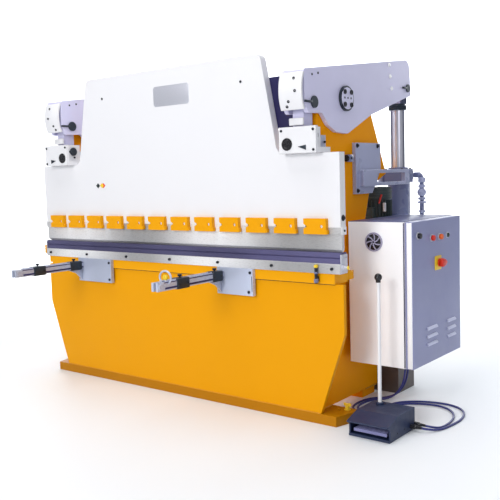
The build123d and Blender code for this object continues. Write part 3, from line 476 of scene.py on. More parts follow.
def addSlab(mesh, outline, facing, start, end, soft=0.001):
    # flat outline pushed along X (outline in Y, Z), Y (in X, Z) or Z (in X, Y), with rounded edges
    order = {"X": (2, 0, 1), "Y": (0, 2, 1), "Z": (0, 1, 2)}[facing]
    loops = [[mesh.verts.new([(u, v, depth)[i] for i in order]) for u, v in outline]
             for depth in (start, end)]
    faces = [mesh.faces.new(loop) for loop in loops]
    for i in range(len(outline)):
        j = (i + 1) % len(outline)
        faces.append(mesh.faces.new((loops[0][i], loops[0][j], loops[1][j], loops[1][i])))
    bmesh.ops.recalc_face_normals(mesh, faces=faces)
    bevelEdges(mesh, {edge for loop in loops for vert in loop for edge in vert.link_edges}, soft)


def addRoundedPlate(mesh, centre, halfU, halfV, corner, facing, start, end, soft=0.0008):
    outline = []
    for sx, sy, angle in ((1, 1, 0), (-1, 1, 90), (-1, -1, 180), (1, -1, 270)):
        middle = (centre[0] + sx * (halfU - corner), centre[1] + sy * (halfV - corner))
        outline += arcPoints(middle, corner, angle, angle + 90, 6)
    addSlab(mesh, outline, facing, start, end, soft)


def addTube(mesh, points, radius, steps=12, closed=False):
    # round bar along a smooth list of points, kept from twisting
    points = [Vector(p) for p in points]
    count = len(points)
    rings = []
    side = None
    for i, point in enumerate(points):
        before = points[i - 1] if closed or i else point
        after = points[(i + 1) % count] if closed or i < count - 1 else point
        ahead = (after - before).normalized()
        side = side or ahead.orthogonal().normalized()
        side = (side - ahead * side.dot(ahead)).normalized()
        up = ahead.cross(side)
        rings.append([mesh.verts.new(point + radius * (x * side + y * up)) for x, y in ringPoints(1, steps)])
    skinLoops(mesh, rings, closed)


def addWeld(mesh, start, end, radius=0.005, pitch=0.009):
    # rippled weld bead along a straight joint
    start, end = Vector(start), Vector(end)
    count = max(4, int((end - start).length / pitch) * 2)
    ahead = (end - start).normalized()
    side = ahead.orthogonal().normalized()
    up = ahead.cross(side)
    rings = []
    for i in range(count + 1):
        swell = radius * (1.0 if i % 2 else 0.8) * (0.5 if i in (0, count) else 1)
        centre = start.lerp(end, i / count)
        rings.append([mesh.verts.new(centre + swell * (x * side + y * up)) for x, y in ringPoints(1, 8)])
    skinLoops(mesh, rings)


def addHexHead(mesh, foot, along, across=0.019, high=0.008, base=0.002):
    # bolt head with a chamfered top, on its washer
    addTurned(mesh, foot, along, [(across * 0.95, 0), (across * 0.95, base * 0.7), (across * 0.9, base)])
    half = across / 2
    addTurned(mesh, foot, along, [
        (half, base * 0.9, "hex"), (half, base + high * 0.85, "hex"), (half * 0.97, base + high),
        (half * 0.6, base + high), (half * 0.55, base + high * 0.93), (0, base + high * 0.93),
    ])


def addSocketHead(mesh, foot, along, radius=0.009, high=0.008):
    # cap screw with a hexagon socket
    addTurned(mesh, foot, along, [
        (radius, 0), (radius, high * 0.88), (radius * 0.92, high), (radius * 0.58, high),
        (radius * 0.5, high, "hex"), (radius * 0.5, high * 0.35, "hex"), (0, high * 0.3),
    ])


def addButtonHead(mesh, foot, along, radius=0.009, high=0.005):
    # domed rivet or button screw
    addTurned(mesh, foot, along, domeRings(radius, high, (0, 25, 50, 70)) + [(0, high)])


def makePiece(name, mesh, look, body, slotName=None):
    # turns the mesh into a piece that rides on its body, in the look's finish; the slot name is not used
    bmesh.ops.recalc_face_normals(mesh, faces=mesh.faces)
    data = bpy.data.meshes.new(name)
    mesh.to_mesh(data)
    mesh.free()
    data.materials.append(finishes[look])
    for face in data.polygons:
        face.use_smooth = True
    data.set_sharp_from_angle(angle=math.radians(32))
    piece = bpy.data.objects.new(name, data)
    bpy.context.scene.collection.objects.link(piece)
    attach(piece, body)
    return piece


def makePieces(prefix, body, rows):
    # one row for each piece: name, mesh, look and, where it differs, slot
    for name, mesh, look, *slotName in rows:
        makePiece(prefix + name, mesh, look, body, *slotName)


# pedal cables
cableTrim = {"radius": 0.006, "layHeight": 0.0063, "ribs": 4}
cables = {
    "inner_pedal_cable": {
        "length": 1.825,
        "drop": [(1.322, 0.6, 0.265), (1.322, 0.6, 0.195), (1.301, 0.6, 0.112), (1.246, 0.602, 0.04)],
        "floor": [
            (1.172, 0.598), (1.108, 0.556), (1.081, 0.48), (1.079, 0.388), (1.098, 0.318), (1.146, 0.279),
            (1.208, 0.277), (1.256, 0.313), (1.275, 0.375), (1.278, 0.458), (1.303, 0.532), (1.378, 0.59),
            (1.47, 0.622), (1.56, 0.606), (1.628, 0.543), (1.667, 0.46), (1.681, 0.378), (1.681, 0.306),
        ],
        "climb": [(1.672, 0.254, 0.009), (1.648, 0.216, 0.019), (1.611, 0.199, 0.026), (1.581, 0.199, 0.026)],
    },
    "outer_pedal_cable": {
        "length": 1.893,
        "drop": [(1.322, 0.563, 0.265), (1.322, 0.563, 0.195), (1.302, 0.566, 0.114), (1.25, 0.57, 0.042)],
        "floor": [
            (1.182, 0.568), (1.131, 0.535), (1.108, 0.468), (1.107, 0.386), (1.122, 0.336), (1.158, 0.308),
            (1.203, 0.309), (1.238, 0.337), (1.251, 0.386), (1.254, 0.468), (1.272, 0.55), (1.345, 0.622),
            (1.44, 0.664), (1.545, 0.674), (1.635, 0.638), (1.691, 0.555), (1.713, 0.455), (1.709, 0.362),
            (1.697, 0.276),
        ],
        "climb": [(1.674, 0.208, 0.01), (1.643, 0.168, 0.02), (1.612, 0.152, 0.026), (1.581, 0.152, 0.026)],
    },
}


def layCable(name, values, trim):
    lying = [(x, y, trim["layHeight"]) for x, y in values["floor"]]
    route = values["drop"] + lying + values["climb"]
    curve = bpy.data.curves.new(name, "CURVE")
    curve.dimensions = "3D"
    curve.bevel_depth = trim["radius"]
    curve.bevel_resolution = 5
    curve.resolution_u = 10
    spline = curve.splines.new("NURBS")
    spline.points.add(len(route) - 1)
    for point, place in zip(spline.points, route):
        point.co = (*place, 1)
    spline.order_u = 3
    spline.use_endpoint_u = True
    curve.materials.append(finishes["cable_sheath"])
    cable = bpy.data.objects.new(name + "Sheath", curve)
    bpy.context.scene.collection.objects.link(cable)
    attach(cable, "frame")
    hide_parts(name)
    for label, place, ahead in (("Top", route[0], (0, 0, -1)), ("Pedal", route[-1], toRight)):
        mesh = bmesh.new()
        rings = [(0.0102, 0.0), (0.01, 0.004)]
        for rib in range(trim["ribs"]):  # ribbed sleeve that thins towards the cable
            start = 0.005 + rib * 0.0075
            wide = 0.0096 - rib * 0.0007
            waist = wide - 0.0014
            rings += [(wide, start), (wide, start + 0.0042), (waist, start + 0.005), (waist, start + 0.007)]
        rings += [(0.007, 0.0365), (0.0063, 0.0385)]
        addTurned(mesh, place, ahead, rings)
        makePiece(name + label + "Relief", mesh, "black_plastic", "frame")


for cableName, cableValues in cables.items():
    layCable(cableName, cableValues, cableTrim)
print("pedal cables laid")


# levers
leverTrim = {
    "capCover": (0.061, 0.004, 0.0015),  # radius, thickness, eased corner
    "capBolts": (0.05, 0.014, 0.007),  # circle, head radius, head height
    "capDots": (-0.034, 0.0, 0.034),
    "pinRadii": (0.032, 0.025),  # front, rear
    "keeper": (0.062, 0.009, 0.006),  # reach, thickness, half width
    "rearBolts": ((0.857, 2.041), (0.868, 1.972), (0.886, 1.899)),  # y, z
    "oilHoles": ((-0.013, 1.911), (0.046, 1.922)),
    "oilHole": [(0.0065, 0), (0.0065, 0.0015), (0.003, 0.0015), (0.002, 0.0005), (0, 0.0005)],
    "nose": (0.205, 0.0565, 0.235, 0.223, 25),  # centre back, centre up, radii, half angle
    "noseBolts": ((0.022, 1.888), (0.033, 1.821), (-0.014, 1.768), (-0.028, 1.742)),  # from the middle, z
    "linkCover": ((-0.046, -0.066, 1.644), (0.046, -0.052, 1.684)),
}


def dressLever(hand, side, values):
    low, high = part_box(hand + "_lever_plates")
    pinLow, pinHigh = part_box(hand + "_lever_pins")
    pivot, front = anchors[hand + "_lever_swing"], anchors[hand + "_link_swing"]
    frontRadius, rearRadius = values["pinRadii"]
    rear = Vector((pivot.x, pinHigh.y - rearRadius, pinHigh.z - rearRadius))
    plateOut, plateIn = (high.x, low.x) if side > 0 else (low.x, high.x)
    capOut, capIn = (pinHigh.x, pinLow.x) if side > 0 else (pinLow.x, pinHigh.x)
    covers, bolts, dots, heads, keepers, screws, nose, linkCover = newMeshes(8)
    radius, thick, eased = values["capCover"]
    circle, boltRadius, boltHigh = values["capBolts"]
    reach, keeperThick, keeperHalf = values["keeper"]
    for plate, pinEnd, way in ((plateOut, capOut, side), (plateIn, capIn, -side)):
        out = (way, 0, 0)
        coverRings = [(radius, 0), (radius, thick - eased), (radius - eased, thick), (0, thick)]
        addTurned(covers, (pinEnd, pivot.y, pivot.z), out, coverRings, 48)
        cap = pinEnd + way * thick
        for y, z in arcPoints((pivot.y, pivot.z), circle, 45, 315, 4):
            addSocketHead(bolts, (cap, y, z), out, boltRadius, boltHigh)
        for shift in values["capDots"]:
            addButtonHead(dots, (cap, pivot.y + shift, pivot.z + 0.002), out, 0.0065, 0.003)
        keeperFace = plate + way * keeperThick
        for pin, half in ((front, frontRadius), (rear, rearRadius)):
            start = pin.y - half - reach * half / frontRadius
            addBlock(keepers, (plate, start, pin.z - keeperHalf),
                     (keeperFace, pin.y - half + 0.01, pin.z + keeperHalf), 0.002)
            addButtonHead(screws, (keeperFace, start + 0.01, pin.z), out, 0.005, 0.003)
        for y, z in values["rearBolts"]:
            addButtonHead(heads, (plate, y, z), out, 0.013, 0.009)
        for y, z in values["oilHoles"]:
            addTurned(screws, (plate, y, z), out, values["oilHole"])
    # bowed cover across the front of the lever
    back, up, outerRadius, innerRadius, half = values["nose"]
    centre = (low.y + back, front.z + up)
    for across, z in values["noseBolts"]:
        bulge = outerRadius * math.cos(math.asin((z - centre[1]) / outerRadius))
        addSocketHead(bolts, (pivot.x + side * across, centre[0] + 0.002 - bulge, z), toFront, 0.0075, 0.006)
    bow = arcPoints(centre, outerRadius, 180 + half, 180 - half, 13)
    bow += arcPoints(centre, innerRadius, 180 - half, 180 + half, 13)
    addSlab(nose, bow, "X", side * (abs(plateIn) + 0.001), side * (abs(plateOut) - 0.001), 0.0015)
    makePieces(hand + "Lever", hand + "_lever", (
        ("CapCovers", covers, "lever_paint"),
        ("CapBolts", bolts, "fastener_steel"),
        ("CapDots", dots, "pin_steel"),
        ("RearBolts", heads, "whiteNylon", "lever_paint"),
        ("PinKeepers", keepers, "pin_steel"),
        ("Screws", screws, "fastener_steel"),
        ("NoseCover", nose, "ram_paint", "lever_paint"),
    ))
    # small cover on the link, under the nose
    coverLow, coverHigh = values["linkCover"]
    addBlock(linkCover, (pivot.x + coverLow[0], *coverLow[1:]),
             (pivot.x + coverHigh[0], *coverHigh[1:]), 0.004)
    makePiece(hand + "LinkCover", linkCover, "ram_paint", hand + "_link", "lever_paint")


for hand, side in hands.items():
    dressLever(hand, side, leverTrim)
print("levers dressed")


# ram clevises, link eyes and guides
clevisTrim = {
    "plug": (-0.052, 1.545, 0.034),  # from the lever's middle, z, radius
    "wedge": ((0.02, 1.53), (0.071, 1.538), (0.071, 1.511)),
    "screws": ((-0.088, 1.618), (0.118, 1.618), (0.118, 1.511)),
    "lug": 0.073,  # half the clevis's width
    "keeper": (-0.074, -0.02, 0.009, 0.007),  # y from and to, thickness, half height
    "greaser": [(0.006, 0, "hex"), (0.006, 0.005, "hex"), (0.0035, 0.007),
                (0.0035, 0.011), (0.002, 0.014), (0, 0.015)],
    "gibScrews": (1.395, 1.475, 1.555),
    "gibWide": 0.11,
    "stop": (0.352, 0.412, 1.446, 1.488, 0.025),  # y, z and thickness
}


def dressClevis(hand, side, values):
    middle = anchors[hand + "_link_swing"].x
    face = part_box("ram_clevises")[0].y
    pinZ = centreOf("ram_pins").z
    plug, screws, wedge, keepers = newMeshes(4)
    shift, z, radius = values["plug"]
    addTurned(plug, (middle + side * shift, face, z), toFront, [
        (radius, 0), (radius, 0.003), (radius * 0.93, 0.006), (radius * 0.62, 0.006),
        (radius * 0.55, 0.004), (0, 0.004)], 32)
    for shift, z in values["screws"]:
        addSocketHead(screws, (middle + side * shift, face, z), toFront, 0.007, 0.005)
    addSlab(wedge, [(middle + side * x, z) for x, z in values["wedge"]], "Y", face - 0.004, face + 0.001)
    front, back, thick, half = values["keeper"]
    for way in (side, -side):
        lug = middle + way * values["lug"]
        addBlock(keepers, (lug, front, pinZ - half), (lug + way * thick, back, pinZ + half), 0.002)
        addButtonHead(screws, (lug + way * thick, front + 0.01, pinZ), (way, 0, 0), 0.005, 0.003)
        addTurned(screws, (lug, 0.008, pinZ - 0.04), (way, 0, 0), values["greaser"])
    makePieces(hand, "ram", (
        ("ClevisPlug", plug, "black_plastic"),
        ("ClevisScrews", screws, "fastener_steel"),
        ("ClevisWedge", wedge, "pin_steel"),
        ("RamPinKeepers", keepers, "pin_steel"),
    ))


def dressGuides(hand, side, values):
    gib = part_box("guide_gibs")[1]
    shoeLow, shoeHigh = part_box("ram_guide_shoes")
    gibScrews, stop, stopBolt, shoeScrews = newMeshes(4)
    for z in values["gibScrews"]:
        for x, way in ((gib.x, side), (gib.x - values["gibWide"], -side)):
            addSocketHead(gibScrews, (side * x, gib.y - 0.012, z), (way, 0, 0), 0.007, 0.006)
    # stop block in the throat's upper corner, with its adjusting bolt
    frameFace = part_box("right_side_frame")[1].x
    front, back, bottom, top, thick = values["stop"]
    middle = (bottom + top) / 2
    addBlock(stop, (side * frameFace, front, bottom), (side * (frameFace + thick), back, top), 0.003)
    addHexHead(stopBolt, (side * (frameFace + 0.013), front, middle), toFront, 0.02, 0.01)
    addTurned(stopBolt, (side * (frameFace + thick), 0.385, middle), (side, 0, 0),
              [(0.007, 0), (0.007, 0.003), (0, 0.003)])
    for z in (shoeLow.z + 0.022, shoeHigh.z - 0.022):
        addSocketHead(shoeScrews, (side * shoeHigh.x, shoeLow.y + 0.02, z), (side, 0, 0), 0.006, 0.004)
    makePieces(hand, "frame", (
        ("GibScrews", gibScrews, "fastener_steel"),
        ("ThroatStop", stop, "barrel_paint"),
        ("ThroatStopBolt", stopBolt, "fastener_steel"),
    ))
    makePiece(hand + "ShoeScrews", shoeScrews, "fastener_steel", "ram")


for hand, side in hands.items():
    dressClevis(hand, side, clevisTrim)
    dressGuides(hand, side, clevisTrim)

# dark panel behind the ram's right shoulder: painted shade standing in for the shaded gap between the ram and
# the lever
shadePanelTrim = {
    "outline": ((0.77, 1.642), (0.926, 1.642), (0.926, 1.895), (0.9, 1.93), (0.745, 1.93)),
    "thick": 0.012,
}
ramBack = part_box("ram_plate")[1].y
shoulderShadePanel = bmesh.new()
addSlab(shoulderShadePanel, shadePanelTrim["outline"], "Y", ramBack - 0.0005, ramBack + shadePanelTrim["thick"], 0.002)
makePiece("shoulderShadePanel", shoulderShadePanel, "navyGuard", "ram", "barrel_paint")


# cylinder yokes and cylinders
yokeTrim = {
    "bolts": ((0.455, 1.54), (0.7, 1.54), (0.455, 1.276)),
    "boltAcross": 0.0145,
    "gland": (0.0535, 0.066, 0.012),  # inner radius, outer radius, height
    "wiper": (0.0458, 0.0535, 0.009),
    "headScrews": 0.058,  # from the rod's middle, both ways
    "pipe": (1.2557, 0.098, 0.0145),  # y, outward from the middle, radius
    "pipeRun": ((0.01, 1.356), (0.078, 1.356), (0.092, 1.35), (0.098, 1.336), (0.098, 1.18),
                (0.098, 1.06), (0.092, 1.046), (0.078, 1.04), (0.06, 1.04)),  # outward, z
    "stack": (  # six-sided fittings down the outer pipe: top z, bottom z, radius
        (1.338, 1.306, 0.0235), (1.29, 1.27, 0.0215), (1.206, 1.19, 0.024),
        (1.18, 1.166, 0.0275), (1.12, 1.104, 0.0225),
    ),
    "ball": (1.24, 0.03),
    "weld": (0.478, 1.303, 1.394, 0.004),  # y, z from and to, radius
    "rodNut": [(0.0465, 0), (0.056, 0.003, "hex"), (0.056, 0.03, "hex"), (0.052, 0.033), (0.0525, 0.042)],
}


def dressCylinder(hand, side, values):
    low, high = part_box(hand + "_cylinder_barrel")
    middle = (low.x + high.x) / 2
    rodY = centreOf(hand + "_piston_rod").y
    yokeFace = high.x if side > 0 else low.x
    branch, bolts, gland, wiper, headScrews, fittings, beads, nut = newMeshes(8)
    for y, z in values["bolts"]:
        for x, way in ((yokeFace, side), (middle - (yokeFace - middle), -side)):
            addHexHead(bolts, (x, y, z), (way, 0, 0), values["boltAcross"], 0.009)
    headTop = (middle, rodY, high.z)
    addCollar(gland, headTop, upward, *values["gland"])
    addCollar(wiper, headTop, upward, *values["wiper"])
    reach = values["headScrews"]
    for across in (-reach, reach):
        for along in (-reach, reach):
            addSocketHead(headScrews, (middle + across, rodY + along, high.z), upward, 0.008, 0.007)
    pipeY, pipeOut, pipeRadius = values["pipe"]
    pipeX = middle + side * pipeOut
    addTube(branch, [(middle + side * out, pipeY, z) for out, z in values["pipeRun"]], pipeRadius, 16)
    addBlock(branch, (pipeX - side * 0.048, pipeY - 0.019, 1.338),
             (pipeX - side * 0.012, pipeY + 0.019, 1.374), 0.004)
    for top, bottom, radius in values["stack"]:
        high = top - bottom
        addTurned(fittings, (pipeX, pipeY, bottom), upward, [
            (radius * 0.9, 0), (radius, 0.0015, "hex"),
            (radius, high - 0.0015, "hex"), (radius * 0.9, high)])
    ballZ, ballRadius = values["ball"]
    addTurned(fittings, (pipeX, pipeY, ballZ), upward, domeRings(ballRadius, ballRadius, range(-60, 61, 15)))
    weldY, weldLow, weldHigh, weldRadius = values["weld"]
    for x in (yokeFace, yokeFace + side * 0.025):
        addWeld(beads, (x, weldY, weldLow), (x, weldY, weldHigh), weldRadius)
    addTurned(nut, (middle, rodY, 1.778), upward, values["rodNut"], 36)
    makePieces(hand, "frame", (
        ("BranchPipe", branch, "barrel_paint"),
        ("YokeBolts", bolts, "fastener_steel"),
        ("CylinderGland", gland, "barrel_paint"),
        ("RodWiper", wiper, "black_plastic"),
        ("HeadScrews", headScrews, "fastener_steel"),
        ("PipeFittings", fittings, "yoke_paint"),
        ("YokeWelds", beads, "yoke_paint"),
    ))
    makePiece(hand + "RodEndNut", nut, "pin_steel", hand + "_rod")


for hand, side in hands.items():
    dressCylinder(hand, side, yokeTrim)
print("cylinders dressed")


# ram and tooling
ramTrim = {
    "plate": (0.05, 1.893, 0.15, 0.062, 0.012),  # middle x, z, half width, half height, cut corner
    "liftPlugs": ((-0.584, 1.924), (0.603, 1.919)),
    "liftPlug": [(0.008, 0), (0.008, 0.002), (0.006, 0.003), (0.003, 0.003, "hex"),
                 (0.003, 0.001, "hex"), (0, 0.001)],
    "marks": ((-0.665, 1.348, "darkGlass"), (-0.625, 1.348, "yellowPlastic"), (-0.612, 1.348, "redTrim")),
    "markSize": (0.019, 0.017),
    "clamps": (12, 0.2, 0.0715),  # count, pitch, half width
    "clampLip": 0.0075,
    "clampScrew": [(0.0086, 0), (0.0086, 0.019), (0.0078, 0.02), (0.0045, 0.02), (0.004, 0.02, "hex"),
                   (0.004, 0.014, "hex"), (0, 0.014)],
    "clampDowel": [(0.0085, 0), (0.0085, 0.003), (0.007, 0.0045), (0, 0.0045)],
}


def dressRam(values):
    low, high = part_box("ram_plate")
    front = low.y
    midX, midZ, halfX, halfZ, cut = values["plate"]
    plate, rivets, plugs, ends, bolts, screws, lips, dowels = newMeshes(8)
    outline = [(midX + sx * (halfX - a), midZ + sz * (halfZ - b))
               for sx, sz, a, b in ((-1, -1, cut, 0), (1, -1, cut, 0), (1, -1, 0, cut), (1, 1, 0, cut),
                                    (1, 1, cut, 0), (-1, 1, cut, 0), (-1, 1, 0, cut), (-1, -1, 0, cut))]
    addSlab(plate, outline, "Y", front - 0.0015, front + 0.0005, 0.0005)
    for sx in (-1, 1):
        for sz in (-1, 1):
            place = (midX + sx * (halfX - 0.016), front - 0.0015, midZ + sz * (halfZ - 0.016))
            addButtonHead(rivets, place, toFront, 0.004, 0.002)
    for x, z in values["liftPlugs"]:
        addTurned(plugs, (x, front, z), toFront, values["liftPlug"])
    makePieces("ram", "ram", (
        ("BlankPlate", plate, "zincPlate", "fastener_steel"),
        ("PlateRivets", rivets, "zincPlate", "fastener_steel"),
    ))
    wide, tall = values["markSize"]
    for i, (x, z, look) in enumerate(values["marks"]):  # small pointer flags
        flag = bmesh.new()
        corners = [(x - wide, z), (x, z - tall), (x + wide, z), (x, z + tall)]
        addSlab(flag, corners, "Y", front - 0.003 + 0.0005 * i, front, 0.0005)
        makePiece(f"ramPointer{i + 1}", flag, look, "ram", "orange_plastic")
    for side in (1, -1):
        edge = side * high.x
        addBlock(ends, (edge, front + 0.001, 1.056), (edge + side * 0.008, front + 0.045, 1.1), 0.003)
        addHexHead(bolts, (edge, 0.004, 1.146), (side, 0, 0), 0.018, 0.008)
        addSocketHead(bolts, (edge + side * 0.008, 0.002, 1.078), (side, 0, 0), 0.006, 0.004)
    clampLow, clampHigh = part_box("punch_clamps")
    middle = (clampLow.z + clampHigh.z) / 2
    count, pitch, half = values["clamps"]
    for i in range(count):
        x = (i - (count - 1) / 2) * pitch
        addTurned(screws, (x + 0.0429, front, middle), toFront, values["clampScrew"])
        addBlock(lips, (x + half - 0.001, clampLow.y, clampLow.z + 0.0002),
                 (x + half + values["clampLip"], front - 0.002, clampLow.z + 0.024), 0.002)
        addTurned(dowels, (x - half + 0.006, front, middle), toFront, values["clampDowel"], 20)
        addHexHead(bolts, (x, high.y, 1.13), toBack, 0.019, 0.009)
    makePieces("", "ram", (
        ("ramEndPlates", ends, "ram_paint"),
        ("ramBolts", bolts, "fastener_steel"),
        ("ramLiftPlugs", plugs, "fastener_steel"),
        ("clampScrews", screws, "whiteNylon", "fastener_steel"),
        ("clampDowels", dowels, "fastener_steel"),
        ("clampLips", lips, "clamp_paint"),
    ))


dressRam(ramTrim)


# table
tableTrim = {
    "endPlate": 0.006,
    "endScrews": ((-0.018, 0.935), (0.018, 0.935), (0.02, 0.872)),  # y, z
    "stopPlace": (-0.016, 0.884),
    "stopScrew": [(0.016, 0, "hex"), (0.016, 0.01, "hex"), (0.011, 0.012), (0.011, 0.02),
                  (0.009, 0.021), (0.009, 0.03)],
    "stopCap": [(0.01, 0), (0.01, 0.004), (0.007, 0.007), (0, 0.008)],
    "flangeTeeth": (0.808, 0.822, 0.836),
    "flangeTooth": [(0.009, 0), (0.01, 0.006), (0.008, 0.012), (0, 0.013)],
    "holderTeeth": (0.875, 0.894, 0.913),
    "holderTooth": [(0.0085, 0), (0.0095, 0.004), (0.0095, 0.012), (0.006, 0.015), (0, 0.015)],
    "peg": (1.104, -0.045, 0.878),
    "pegKnob": [(0.008, 0), (0.0115, 0.003), (0.0125, 0.009), (0.0095, 0.016), (0, 0.019)],
    "rearKnob": [(0.007, 0), (0.01, 0.003), (0.011, 0.008), (0.008, 0.014), (0, 0.016)],
}


def dressTable(values):
    holderLow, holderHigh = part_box("die_holder")
    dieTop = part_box("die_block")[1].z
    pegLow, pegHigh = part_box("table_pegs")
    flangeLow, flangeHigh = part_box("table_flange")
    plates, stops, tips, blocks, knobs, sleeves, flangeShadow = newMeshes(7)
    edge = holderHigh.x + values["endPlate"]
    for side in (1, -1):
        addBlock(plates, (side * holderHigh.x, holderLow.y + 0.002, holderLow.z + 0.002),
                 (side * edge, holderHigh.y - 0.002, dieTop - 0.01), 0.002)
        for y, z in values["endScrews"]:
            addSocketHead(stops, (side * edge, y, z), (side, 0, 0), 0.006, 0.004)
    # stop screw with its yellow cap at the right end
    stopY, stopZ = values["stopPlace"]
    addTurned(stops, (edge, stopY, stopZ), toRight, values["stopScrew"])
    addTurned(tips, (edge + values["stopScrew"][-1][1], stopY, stopZ), toRight, values["stopCap"])
    # notched blocks at the left end, and the rear stop at the right end
    left = -flangeHigh.x
    addBlock(blocks, (left - 0.028, flangeLow.y, 0.8), (left, 0.04, 0.846), 0.003)
    for z in values["flangeTeeth"]:
        addTurned(blocks, (left - 0.028, -0.006, z), (-1, 0, 0), values["flangeTooth"], 16)
    addBlock(blocks, (1.13, flangeHigh.y - 0.002, 0.797), (flangeHigh.x, 0.177, 0.846), 0.003)
    addBlock(blocks, (-edge - 0.028, -0.026, 0.862), (-edge, 0.026, 0.926), 0.004)
    for z in values["holderTeeth"]:
        addTurned(blocks, (-edge - 0.028, -0.01, z), (-1, 0, 0), values["holderTooth"], 18)
    pegX, pegY, pegZ = values["peg"]
    addTurned(knobs, (pegX, pegY, pegZ), upward, values["pegKnob"])
    addCollar(sleeves, (pegX, pegY, pegLow.z + 0.004), upward, 0.009, 0.0125, 0.02)
    addCollar(sleeves, (pegX, pegY, 0.846), upward, 0.009, 0.0115, 0.01)
    for side in (1, -1):
        addTurned(knobs, (side * (pegHigh.x - 0.009), 0.09, pegHigh.z), upward, values["rearKnob"])
    # black strip under the flange's front edge: painted shadow where the flange overhangs the apron
    addBlock(flangeShadow, (left + 0.004, flangeLow.y + 0.004, flangeLow.z - 0.0035),
             (flangeHigh.x - 0.004, flangeLow.y + 0.011, flangeLow.z), 0.0012)
    makePieces("", "frame", (
        ("flangeSeal", flangeShadow, "black_plastic"),
        ("toolEndPlates", plates, "zincPlate", "tool_steel"),
        ("tableStopScrews", stops, "zincPlate", "fastener_steel"),
        ("tableStopCap", tips, "yellowPlastic", "jack_paint"),
        ("tableEndBlock", blocks, "apron_paint"),
        ("pegKnobs", knobs, "yellowPlastic", "jack_paint"),
        ("pegSleeves", sleeves, "barrel_paint"),
    ))


dressTable(tableTrim)


# welds, base and frames
frameTrim = {
    "footWelds": (0.545, 0.685),  # y from and to, behind the apron
    "frontWeld": (0.012, 0.52, 0.785),  # y, z from and to
    "tieTubes": ((0.375, 1.425), (0.6, 0.25)),  # y, z
    "tieRadius": 0.051,
    "jack": (1.177, 0.135),
    "apronWelds": (1.09, 0.995),  # half lengths, front and back
}


def dressFrames(values):
    frameLow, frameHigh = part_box("right_side_frame")
    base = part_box("base_plate")[1]
    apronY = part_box("front_apron")[0].y
    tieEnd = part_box("tie_tubes")[1].x
    beads, nuts = newMeshes(2)
    seam = frameLow.z
    rearStart, rearEnd = values["footWelds"]
    frontY, frontLow, frontHigh = values["frontWeld"]
    for side in (1, -1):
        outer = side * frameHigh.x
        inner = side * tieEnd
        for x in (outer, inner):
            addWeld(beads, (x, base.y, seam), (x, 0.016, seam), 0.0055)
            addWeld(beads, (x, rearStart, seam), (x, rearEnd, seam), 0.0055)
        addWeld(beads, (outer, frontY, frontLow), (outer, frontY, frontHigh))
        for y, z in values["tieTubes"]:
            ring = [(inner - side * 0.001, y + u, z + v) for u, v in ringPoints(values["tieRadius"], 40)]
            addTube(beads, ring, 0.005, 8, closed=True)
        jackX, jackY = side * values["jack"][0], values["jack"][1]
        addCollar(nuts, (jackX, jackY, base.z), upward, 0.0095, 0.019, 0.004)
        for way in (-1, 1):  # wings of the locking nut
            addBlock(nuts, (jackX + way * 0.008, jackY - 0.003, base.z + 0.02),
                     (jackX + way * 0.024, jackY + 0.003, base.z + 0.038), 0.0025)
    frontHalf, backHalf = values["apronWelds"]
    addWeld(beads, (-frontHalf, apronY, base.z), (frontHalf, apronY, base.z))
    addWeld(beads, (-backHalf, 0.08, base.z), (backHalf, 0.08, base.z), 0.0055)
    makePiece("frameWelds", beads, "frameWeld", "frame", "frame_paint")
    makePiece("levellingNuts", nuts, "jack_paint", "frame")


dressFrames(frameTrim)
print("ram, table and frames dressed")


# front support arms
armTrim = {
    "stops": {"left": ((-0.463, -0.369), (-0.165, -0.067)), "right": ((-0.452, -0.352), (-0.15, -0.062))},
    "ring": {"right": -0.515},
    "ringSize": (0.042, 0.036, 0.0055),  # half width, half height, bar radius
    "grip": 0.006,  # how far the clamp blocks stand out from the bar
    "thumbScrew": [(0.006, 0), (0.006, 0.006), (0.012, 0.008), (0.013, 0.014), (0.011, 0.018), (0, 0.018)],
    "rails": (-0.53, -0.35, -0.2, -0.054),
    "gusset": ((-0.0505, 0.001), (-0.175, 0.001), (-0.1, -0.03), (-0.0505, -0.078)),  # y, from the bar's foot
    "cheek": [(0.02, 0), (0.02, 0.002), (0.017, 0.004), (0.008, 0.004), (0, 0.0035)],
    "hub": [(0.012, 0), (0.016, 0.003), (0.016, 0.013), (0.012, 0.016)],
    "hubFoot": [(0.012, 0), (0.009, 0.006), (0.006, 0.01), (0.006, 0.02)],
}


